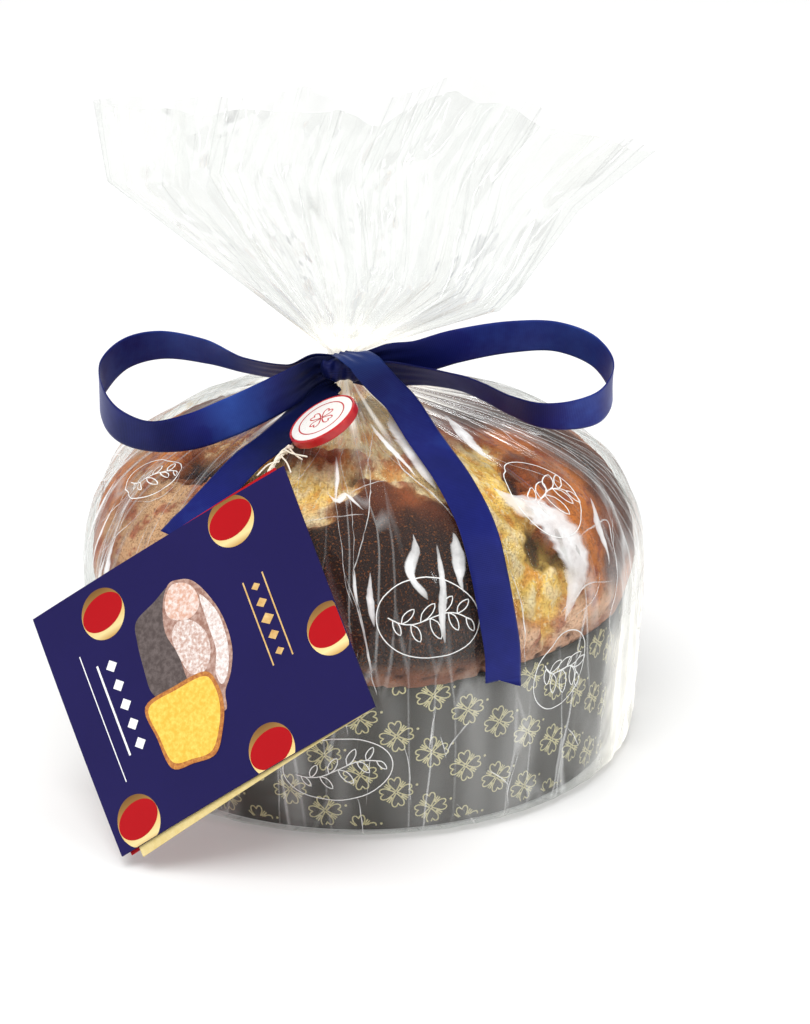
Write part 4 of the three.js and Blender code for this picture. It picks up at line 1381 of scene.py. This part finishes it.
# The gleam's bands, roughened by random unevenness, choose between dark and bright blue: painted highlight
# and painted shade.
brushed = tree.math("MULTIPLY_ADD", tree.math("SUBTRACT", uneven, 0.5), 0.3, tree.read("gleam"))
dim = tree.blend(tree.fit(brushed, 0.0, 0.5), colour(6, 9, 42), colour(24, 30, 110))
lit = tree.blend(tree.fit(brushed, 0.5, 1.0), dim, colour(54, 90, 178))
knot_shaded_tone = tree.blend(open_share, colour(8, 9, 34), lit)
tree.feed_all(shader, {
    "Base Color": tree.blend(tree.times(threads["Shade"], 0.1), knot_shaded_tone, colour(60, 82, 178)),
    "Roughness": tree.fit(uneven, 0.0, 1.0, 0.44, 0.32), "Metallic": 0.3, "Specular IOR Level": 0.25,
    "Sheen Weight": 0.12, "Sheen Roughness": 0.35, "Sheen Tint": (0.25, 0.35, 0.9, 1)})
tree.bump(shader, threads["Height"], 0.18, 0.00008)

# %% Loops and tails
# Pairs of share along the strip and gleam.
LOOP_GLEAM = {
    "left": [
        (0, 0.1), (0.12, 0.5), (0.25, 0.66), (0.42, 0.66), (0.5, 0.42), (0.58, 0.26), (0.66, 0.26),
        (0.71, 0.4), (0.76, 0.76), (0.8, 0.74), (0.85, 0.4), (0.92, 0.12), (1, 0.0),
    ],
    "right": [
        (0, 0.2), (0.1, 0.45), (0.22, 0.62), (0.38, 0.7), (0.45, 0.5), (0.5, 0.55), (0.55, 0.6),
        (0.61, 0.42), (0.7, 0.3), (0.8, 0.5), (0.9, 0.35), (1, 0.1),
    ],
}
for side, stations in (("left", LEFT_LOOP), ("right", RIGHT_LOOP)):
    tilts = np.radians([tilt for *_, tilt in stations])
    lean = np.stack([np.zeros(len(tilts)), np.sin(tilts), np.cos(tilts)], -1)
    loop = ribbon_strip("bow_loop_" + side, [p[:3] for p in stations], lean, 260, True, LOOP_GLEAM[side])
    finished(loop, "ribbon", satin, "ribbon_loop_" + side)

for side, tail in (("front", FRONT_TAIL), ("left", LEFT_TAIL)):
    line = tail["start"] + [off_film(azimuth, height, TAIL_LIFT) for azimuth, height in tail["film"]]
    azimuths = [azimuth for azimuth, _ in tail["film"]]
    bearings = np.radians(azimuths[:1] * len(tail["start"]) + azimuths)
    level = np.stack([-np.sin(bearings), np.cos(bearings), np.zeros(len(bearings))], -1)
    made = ribbon_strip("bow_tail_" + side, line, level, 170, False, tail["gleam"], tail["slant"])
    finished(made, "ribbon", satin, "ribbon_tail_" + side)

# %% [markdown]
# The knot is the ribbon wrapped once round itself. It is a short rounded roll whose surface is folded
# across, as gathered satin is, and a plain band runs round the neck of the bag behind it.

# %% Knot and neck band
KNOT = dict(x=-6.5, y=-15.3, z=156.6, length=19, depth=11.4, height=10, bulge=0.2)
KNOT_COLUMNS, KNOT_SIDES = 60, 96
NECK_BAND = dict(hold=6.6, outer=9.1, bottom=151.8, top=157, sides=72, rows=19)

rings, cloth = [], []
sides = full_turn(KNOT_SIDES)
for along in np.linspace(-1, 1, KNOT_COLUMNS):
    swell = 1 - KNOT["bulge"] * along**2 - 0.25 * rise(abs(along), 0.86, 1)
    folds = (0.1 * np.sin(7 * along + 2.4 * np.sin(sides + 0.4) + 0.7)
             + 0.045 * np.sin(17 * along - 2.2 * np.sin(sides)))
    form = [np.sign(v) * np.abs(v) ** 0.75 for v in (np.cos(sides), np.sin(sides))]
    reach, place = swell - 0.08 + folds, along * KNOT["length"] / 2
    rings.append(np.stack([np.full(KNOT_SIDES, KNOT["x"] + place),
                           KNOT["y"] + reach * KNOT["depth"] / 2 * form[0],
                           KNOT["z"] + reach * KNOT["height"] / 2 * form[1]], -1))
    cloth.append(np.stack([sides * 5.5, np.full(KNOT_SIDES, place)], -1))
knot_points = np.vstack(rings + [[rings[0].mean(0)], [rings[-1].mean(0)]])
knot = mesh_object("bow_knot", knot_points, [f[::-1] for f in capped_faces(KNOT_COLUMNS, KNOT_SIDES)])
uv_map(knot, "cloth", np.vstack(cloth + [[(0, 0)], [(0, 0)]]))
value_attribute(knot, "gleam", np.full(len(knot_points), 0.5))
finished(knot, "ribbon", satin, "ribbon_knot")


def turned_rings(profile, sides, x=0):
    """Points of a profile of radius and height, turned round the upright axis."""
    return [around(radius, full_turn(sides), height, x) for radius, height in profile]


band_outer = []
for share in np.linspace(0, 1, NECK_BAND["rows"]):
    pressed_out = min(1, math.sin(math.pi * share) * 2.2)
    crest = NECK_BAND["outer"] - 0.2 + 0.2 * math.sin(9 * share)
    level = mix(NECK_BAND["bottom"], NECK_BAND["top"], share)
    band_outer.append((mix(NECK_BAND["hold"], crest, pressed_out), level))
band_inner = [(NECK_BAND["hold"] - 0.4, height) for _, height in reversed(band_outer[1:-1])]
rings = turned_rings(band_outer + band_inner, NECK_BAND["sides"], TIE_X)
count, columns = len(rings) * NECK_BAND["sides"], NECK_BAND["sides"]
faces = [tuple(i % count for i in face) for face in grid_faces(len(rings) + 1, columns)]
band_points = np.vstack(rings)
band = mesh_object("bow_neck_band", band_points, faces)
uv_map(band, "cloth", [(math.atan2(p[1], p[0] - TIE_X) * 9, p[2]) for p in band_points])
value_attribute(band, "gleam", np.full(count, 0.45))
finished(band, "ribbon", satin, "ribbon_wrap")

# %% [markdown]
# ## The seal
#
# A shallow red cup with a white inlaid disc. Both are turned profiles with rounded edges. The disc bears
# a plain ring and a small clover, printed in red.

# %% Seal
SEAL = dict(place=(-12.8, -56, 147.1), azimuth=-162, elevation=60)
CUP_RADIUS, CUP_THICKNESS, FACE_RADIUS, FACE_LOW, FACE_TOP = 14.0, 3.7, 13.0, 2.6, 3.7
SEAL_SIDES = 96


def seal_place(points):
    """From the seal's own frame to the object's: tipped back, then turned to its azimuth."""
    tip, turn = math.radians(90 - SEAL["elevation"]), math.radians(SEAL["azimuth"])
    x, y, z = np.asarray(points, float).T
    x, z = x * math.cos(tip) + z * math.sin(tip), -x * math.sin(tip) + z * math.cos(tip)
    x, y = x * math.cos(turn) - y * math.sin(turn), x * math.sin(turn) + y * math.cos(turn)
    return np.stack([x, y, z], -1) + SEAL["place"]


def arc(centre, reach, start, stop, count):
    """Places on a circle, from start to stop in degrees."""
    return [(centre[0] + reach * math.cos(a), centre[1] + reach * math.sin(a))
            for a in np.radians(np.linspace(start, stop, count))]


def turned_piece(name, profile):
    """A closed turned body whose profile starts and ends on the axis."""
    ends = [[(0, 0, profile[0][1])], [(0, 0, profile[-1][1])]]
    points = np.vstack(turned_rings(profile, SEAL_SIDES) + ends)
    return mesh_object(name, seal_place(points), capped_faces(len(profile), SEAL_SIDES))


EDGE = 0.6
cup_profile = ([(6, 0)] + arc((CUP_RADIUS - EDGE, EDGE), EDGE, -90, 0, 7)
               + arc((CUP_RADIUS - EDGE, CUP_THICKNESS - EDGE), EDGE, 0, 90, 7)
               + [(FACE_RADIUS + 0.35, CUP_THICKNESS), (FACE_RADIUS + 0.3, FACE_LOW - 0.3),
                  (6, FACE_LOW - 0.3)])
cup = turned_piece("seal_rim", cup_profile)
face_profile = ([(6, FACE_LOW), (FACE_RADIUS - 0.2, FACE_LOW), (FACE_RADIUS, FACE_LOW + 0.2)]
                + arc((FACE_RADIUS - 0.4, FACE_TOP - 0.4), 0.4, 0, 90, 5) + [(6, FACE_TOP + 0.05)])
disc = turned_piece("seal_disc", face_profile)

red_plastic = speckled("red_plastic", ((186, 24, 32), (206, 40, 44)), 420.0, 0.35, 0.7, (0.28, 0.4),
                       Coat_Weight=0.3)
white_enamel = speckled("white_enamel", ((246, 243, 238), (236, 232, 226)), 380.0, 0.35, 0.7, (0.25, 0.38),
                        Coat_Weight=0.3)
finished(cup, "seal_red", red_plastic, "seal_cup")
finished(disc, "seal_white", white_enamel, "seal_face")

SEAL_RING, SEAL_HEART, SEAL_TURN, SEAL_INK = 9.6, 0.85, 0.4, 0.08
ring_line = arc((0, 0), SEAL_RING, 0, 360, 73)
seal_lines = [ring_line] + [turned(heart * SEAL_HEART, q * math.pi / 2 + SEAL_TURN) for q in range(4)]
points, faces = stroke_mesh(seal_lines, LINE_WIDTH)
points = [(x, y, FACE_TOP + SEAL_INK) for x, y, _ in points]
motif = mesh_object("seal_print", seal_place(points), faces, smooth_shading=False)
finished(motif, "seal_red", red_plastic)

# %% [markdown]
# ## The hang tag
#
# The tag is a folded card: a navy cover, a gold page behind it and a red leaf at the back. The leaves
# bow slightly, since the card leans on the round shoulder. A place on the tag is given as it reads:
# across from the left, and up.

# %% Tag leaves
TAG = dict(centre=(-59.5, -112.8, 75.7), azimuth=-123.6, elevation=26.3, roll=-139.2,
           width=121, height=99.2, bow=800)
LEAF_SHAPES = {
    "cover": dict(front=0.0, thickness=0.8, trim=0, turn=0, shift=(0, 0)),
    "page": dict(front=1.1, thickness=0.5, trim=9, turn=2.2, shift=(2.8, 2.1)),
    "back": dict(front=1.9, thickness=0.5, trim=4.3, turn=1.6, shift=(2.7, -0.5)),
}
facing, tilt, roll = [math.radians(TAG[key]) for key in ("azimuth", "elevation", "roll")]
tag_out = around(math.cos(tilt), np.float64(facing), math.sin(tilt))
tag_right = unit(np.cross((0, 0, 1), tag_out))
tag_rise = np.cross(tag_out, tag_right)
tag_width = tag_right * math.cos(roll) + tag_rise * math.sin(roll)
tag_height = -tag_right * math.sin(roll) + tag_rise * math.cos(roll)
diagonal = math.hypot(TAG["width"], TAG["height"])
tag_cos, tag_sin = TAG["width"] / diagonal, TAG["height"] / diagonal


def tag_point(p, q, depth):
    """p along the tag's width, q along its height, depth behind the cover's face."""
    p, q = np.asarray(p, float)[..., None], np.asarray(q, float)[..., None]
    turn = (p * tag_cos + q * tag_sin) / TAG["bow"]
    sideways = q * tag_cos - p * tag_sin
    down = tag_width * tag_cos + tag_height * tag_sin
    side = tag_height * tag_cos - tag_width * tag_sin
    reach = TAG["bow"] - depth
    return (np.array(TAG["centre"]) + down * reach * np.sin(turn) + side * sideways
            + tag_out * (reach * np.cos(turn) - TAG["bow"]))


def reading(u, v, depth):
    """u across and v up, as the tag reads."""
    return tag_point(-np.asarray(v, float), u, depth)


CELLS = 26
tag_pieces = {}
for name, leaf in LEAF_SHAPES.items():
    p, q = np.meshgrid(np.linspace(-TAG["width"] / 2, TAG["width"] / 2 - leaf["trim"], CELLS + 1),
                       np.linspace(-TAG["height"] / 2, TAG["height"] / 2, CELLS + 1), indexing="ij")
    c, s = math.cos(math.radians(leaf["turn"])), math.sin(math.radians(leaf["turn"]))
    lp, lq = p * c - q * s + leaf["shift"][0], p * s + q * c + leaf["shift"][1]
    front = tag_point(lp, lq, leaf["front"]).reshape(-1, 3)
    rear = tag_point(lp, lq, leaf["front"] + leaf["thickness"]).reshape(-1, 3)
    count = len(front)
    faces = [f[::-1] for f in grid_faces(CELLS + 1, CELLS + 1, closed=False)]
    faces += grid_faces(CELLS + 1, CELLS + 1, closed=False, first=count)
    ring = ([(k, 0) for k in range(CELLS)] + [(CELLS, k) for k in range(CELLS)]
            + [(CELLS - k, CELLS) for k in range(CELLS)] + [(0, CELLS - k) for k in range(CELLS)])
    edge_points = [i * (CELLS + 1) + j for i, j in ring]
    for k, a in enumerate(edge_points):
        b = edge_points[(k + 1) % len(edge_points)]
        faces.append((b, a, a + count, b + count))
    made = mesh_object("card_" + name, np.vstack([front, rear]), faces)
    made.data.set_sharp_from_angle(angle=math.radians(40))
    tag_pieces[name] = made

# %% Card finishes
CARD_SHINE = 0.16


def card_material(name, plain_tone, edge_tone, roughness):
    material, tree, shader = new_material(name)
    coords = tree.here()
    grain, broad = tree.speckle(coords, 650.0, 0.3, 0.75), tree.speckle(coords, 25.0, 0.35, 0.7)
    mean = tree.times(tree.math("ADD", grain, broad), 0.5)
    tree.feed_all(shader, {
        "Base Color": tree.blend(mean, colour(*plain_tone), colour(*edge_tone)),
        "Roughness": tree.fit(grain, 0.0, 1.0, roughness, roughness + 0.12),
        "Specular IOR Level": CARD_SHINE})
    tree.bump(shader, grain, 0.08, 0.0001)
    return material


CARDS = {
    "cover": ("tag_navy", card_material("navy_card", (27, 22, 76), (31, 26, 83), 0.5)),
    "page": ("tag_gold", card_material("gold_page", (214, 190, 120), (238, 222, 170), 0.4)),
    "back": ("tag_red", card_material("red_card", (176, 14, 24), (192, 24, 32), 0.45)),
}
for leaf, (slot, card) in CARDS.items():
    finished(tag_pieces[leaf], slot, card, "tag_" + leaf)

# %% [markdown]
# ## The print on the cover
#
# The cover bears five gold spots with a red oval in each, a picture of a cake with a cut slice, and fine
# rules. Each field of print is a thin patch that lies just proud of the card and bows with it. A patch is
# built from its middle outwards, so that the card's edge can cut it off.


# %% Print patches
INK = 0.05
SPOT_RADIUS = 9.9
HALF_U, HALF_V = TAG["height"] / 2, TAG["width"] / 2


def patch(name, outline, layer, rings=7, spot=None):
    """A field of print inside an outline of reading places, cut off at the card's edge. The map "spot" runs
    from -1 to 1 over the spot round that place."""
    outline = np.asarray(outline, float)
    middle = outline.mean(0)
    middle = np.clip(middle, (-HALF_U + 1, -HALF_V + 1), (HALF_U - 1, HALF_V - 1))
    spokes = outline - middle
    limit = np.where(spokes > 0, np.array([HALF_U, HALF_V]) - middle, middle + np.array([HALF_U, HALF_V]))
    keep = np.minimum(1, (limit / np.maximum(np.abs(spokes), 1e-6)).min(1))[:, None]
    spokes = spokes * keep
    flat = np.vstack([middle[None]] + [middle + spokes * (k / rings) for k in range(1, rings + 1)])
    points = reading(flat[:, 0], flat[:, 1], -INK * layer)
    count = len(outline)
    faces = [(0, 1 + (i + 1) % count, 1 + i) for i in range(count)]
    faces += grid_faces(rings, count, first=1)
    made = mesh_object(name, points, faces)
    if sum(f.normal.dot(Vector(tag_out)) for f in made.data.polygons) < 0:
        made.data.flip_normals()
    uv_map(made, "print", flat)
    if spot is not None:
        uv_map(made, "spot", (flat - spot) / SPOT_RADIUS)
    return made


def oval(centre, across, up, lean=0.0, count=56):
    turns = full_turn(count)
    x, y = across * np.cos(turns), up * np.sin(turns)
    c, s = math.cos(lean), math.sin(lean)
    return np.stack([centre[0] + x * c - y * s, centre[1] + x * s + y * c], -1)


def rounded(corners, count=60):
    """A closed smooth outline through corners."""
    corners = np.asarray(corners, float)
    looped = np.vstack([corners[-1:], corners, corners[:2]])
    spans = len(looped) - 1
    shares = 1 / spans + np.linspace(0, 1, count, endpoint=False) * len(corners) / spans
    return catmull(looped, shares)


SPOTS_ON_TAG = [(-41.0, 33.3), (-35.9, -30.3), (15.6, 55.7), (44.3, 16.2), (41.4, -47.5)]
RED_HALVES = (6.6, 9.7)

foil, tree, shader = new_material("gold_foil")
# Each gold spot runs from dark on one side to bright on the other: a painted sheen on the foil.
reading_uv = tree.add("ShaderNodeUVMap", uv_map="spot")
shine = tree.add("ShaderNodeSeparateXYZ", {0: reading_uv.outputs["UV"]}).outputs["X"]
ramp = tree.add("ShaderNodeValToRGB", {0: tree.fit(shine, -1.0, 1.0)})
stops = ramp.color_ramp.elements
stops[0].color, stops[1].color = colour(126, 86, 36), colour(206, 158, 84)
for position, tone_stop in ((0.3, (176, 132, 66)), (0.62, (240, 206, 130)), (0.85, (250, 228, 162))):
    stops.new(position).color = colour(*tone_stop)
brushed = tree.speckle(tree.here(), 900.0, 0.3, 0.7)
tree.feed_all(shader, {"Base Color": ramp.outputs["Color"], "Metallic": 0.35,
                       "Roughness": tree.fit(brushed, 0.0, 1.0, 0.32, 0.42)})
red_print = card_material("red_print", (172, 10, 20), (178, 14, 24), 0.5)

for number, centre in enumerate(SPOTS_ON_TAG):
    gold_round = oval(centre, SPOT_RADIUS, SPOT_RADIUS)
    finished(patch(f"print_spot_gold_{number}", gold_round, 1, spot=centre), "tag_gold", foil)
    red_oval = oval((centre[0] - 0.6, centre[1]), *RED_HALVES, math.radians(8))
    finished(patch(f"print_spot_red_{number}", red_oval, 2), "tag_red", red_print)

# %% [markdown]
# The picture is drawn in simple fields: the case, the dome with its sugared lobes and the cut slice with
# its thin crust. Fine speckle stands in for crumb and sugar.


# %% Picture fields
def print_material(name, tones, scale, low=0.4, high=0.65):
    return speckled(name, tones, scale, low, high, (0.45, 0.5))


# Each field's layer, tones, size of speckle and corners.
PICTURE = {
    "case": (1, ((74, 62, 60), (104, 92, 90)), 500, [
        (-31.5, 0), (-29, -8), (-26, -18), (-19, -20.6), (-8, -22), (1, -22.4), (5, -18.5), (4, -5), (-6, -6),
        (-16, -8), (-26, -5)]),
    "dome": (2, ((150, 108, 92), (196, 164, 152)), 520, [
        (-32, 0), (-31.5, 5), (-28.5, 10), (-21, 14), (-10, 16.8), (2, 16.2), (10.6, 12), (16, 7), (22, 5),
        (20, 1), (8, -3), (4, -6), (-6, -6), (-16, -8), (-26, -5)]),
    "lobe_left": (3, ((214, 164, 140), (238, 226, 220)), 700, [
        (-31, 1), (-29, 7), (-24, 10), (-18, 9), (-16, 3), (-20, -4), (-26, -4)]),
    "lobe_front": (3, ((196, 160, 146), (240, 232, 228)), 800, [
        (-15, 4), (-8, 8), (0, 7), (5, 2), (3, -4), (-5, -6), (-13, -6), (-17, -2)]),
    "lobe_top": (3, ((212, 190, 182), (248, 244, 242)), 800, [
        (-22, 11), (-12, 15.5), (0, 15), (9, 11.5), (13, 7), (8, 6), (0, 9.5), (-10, 10)]),
    "slice_crust": (4, ((168, 96, 40), (206, 140, 62)), 700, [
        (5, -27), (4, -12), (5.2, 2), (12, 5.2), (20, 4.6), (28, 0.5), (34.8, -6), (33.5, -16), (30.8, -25.6),
        (18, -27)]),
    "slice_crumb": (5, ((238, 184, 58), (250, 212, 96)), 650, [
        (6.2, -25.8), (5.6, -12), (6.6, 0.9), (12, 3.6), (19.4, 3), (26.6, -0.6), (33, -7), (31.8, -16),
        (29, -24.2), (18, -25.8)]),
}
for name, (layer, tones_of_field, scale, corners) in PICTURE.items():
    field = patch("print_" + name, rounded(corners), layer, rings=9)
    finished(field, "tag_navy", print_material("print_" + name, tones_of_field, scale))

# %% [markdown]
# Plain ornament finishes the card: gold rules with lozenges at the top, and white lozenges with white
# rules under the picture. Each is a patch too, made from a short outline.


# %% Rules and lozenges
def lozenge(centre, across, up):
    u, v = centre
    return [(u - across, v), (u, v + up), (u + across, v), (u, v - up)]


def bar(u0, u1, v, thickness):
    steps = np.linspace(u0, u1, 15)
    top = [(u, v + thickness / 2) for u in steps]
    bottom = [(u, v - thickness / 2) for u in steps[::-1]]
    return top + bottom


white_print = print_material("white_print", ((240, 240, 244), (252, 252, 252)), 900)
gold_print = print_material("gold_print", ((196, 150, 84), (232, 196, 130)), 300, 0.3, 0.7)
ORNAMENT = [
    ("gold_rule_upper", bar(-17, 17, 38.0, 0.6), gold_print),
    ("gold_rule_lower", bar(-17, 17, 29.2, 0.6), gold_print),
    ("white_rule_wide", bar(-19, 18, -40.6, 0.9), white_print),
    ("white_rule_fine", bar(-26, 26, -46.4, 0.45), white_print),
]
for k in range(-2, 3):
    size = 2.9 - 0.45 * abs(k)
    ORNAMENT.append((f"gold_lozenge_{k + 2}", lozenge((6.6 * k, 33.6), size * 0.8, size), gold_print))
    ORNAMENT.append((f"white_lozenge_{k + 2}", lozenge((8.0 * k, -34.6), 2.5, 2.7), white_print))
for name, outline, ink in ORNAMENT:
    finished(patch("print_" + name, outline, 2, rings=2), "tag_navy", ink)

# %% [markdown]
# ## The thread
#
# A short cream thread runs from the seal to the tag's top corner. It is loosely twisted from several
# fine strands, with a few loose ends. Geometry Nodes sweep a round section along every strand.

# %% Thread strands
THREAD_ROUTE = [(-26.1, -59.3, 139.6), (-29, -66, 139.5), (-32, -76, 138.3), (-33.2, -84, 138.8)]
STRANDS, STRAND_STEPS, LOOSE_STEPS = 9, 40, 14

strand_tree, given, result = new_geometry_tree("Strands", {
    "Radius": ("Float", 0.0002), "Sides": ("Int", 6), "Yarn": ("Material", None)})
lines = strand_tree.add("GeometryNodeMeshToCurve", {0: given["Geometry"]})
section = strand_tree.add("GeometryNodeCurvePrimitiveCircle", {
    "Resolution": given["Sides"], "Radius": given["Radius"]})
tubes = strand_tree.add("GeometryNodeCurveToMesh", {
    "Curve": lines, "Profile Curve": section, "Fill Caps": True})
real = strand_tree.add("GeometryNodeRealizeInstances", {"Geometry": tubes})
coloured = strand_tree.add("GeometryNodeSetMaterial", {"Geometry": real, "Material": given["Yarn"]})
strand_tree.feed(result, coloured)
yarn = speckled("cream_yarn", ((236, 224, 200), (253, 248, 236)), 1400.0, 0.3, 0.7, (0.75, 0.9),
                Sheen_Weight=0.3)


def add_strand(strand_points):
    first, count = len(points), len(strand_points)
    points.extend(strand_points)
    edges.extend((first + k, first + k + 1) for k in range(count - 1))


points, edges = [], []
for strand in range(STRANDS):
    shares = np.linspace(0, 1, STRAND_STEPS)
    centre = centripetal(THREAD_ROUTE, shares)
    phase = 2 * math.pi * strand / STRANDS
    width = (0.5 + 0.25 * math.sin(3.7 * strand)) * (1.7 - 1.1 * shares)
    swirl = phase + 2 * math.pi * 2.2 * shares + 0.5 * strand
    offset = np.stack([np.cos(swirl), 0.35 * np.sin(2 * swirl), np.sin(swirl)], -1) * width[:, None]
    add_strand((centre + offset).tolist())
LOOSE_ENDS = [
    [(-27.5, -62, 140.6), (-28, -67, 141.5), (-27, -71, 142.4)],
    [(-29.5, -68, 139.3), (-27, -73, 138.3), (-25.4, -77, 135.9)],
    [(-28, -64, 140), (-24.5, -69, 140.4), (-19.5, -72.5, 140.6)],
    [(-31, -73, 138.8), (-34, -78, 139.2), (-37.5, -84, 137.4)],
    [(-27, -61, 140.2), (-24, -66, 138.9), (-21.5, -69.5, 138.4)],
]
for line in LOOSE_ENDS:
    add_strand(centripetal(line, np.linspace(0, 1, LOOSE_STEPS)).tolist())
strand_lines = bpy.data.objects.new("strand_lines", bpy.data.meshes.new("strand_lines"))
strand_lines.data.from_pydata((np.array(points) * MM).tolist(), edges, [])
bpy.context.collection.objects.link(strand_lines)
thread = grown("tag_thread_strands", "Strands", {"Radius": 0.33 * MM, "Sides": 6, "Yarn": yarn}, strand_lines)
thread.data.shade_smooth()
finished(thread, "thread", None, "tag_thread")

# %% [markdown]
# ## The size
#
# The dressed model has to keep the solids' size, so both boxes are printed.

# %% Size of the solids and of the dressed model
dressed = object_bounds()
for name, box in (("solids", CAD_BOX), ("dressed", dressed)):
    print(name, "box in mm:", [[round(v / MM, 1) for v in corner] for corner in box])
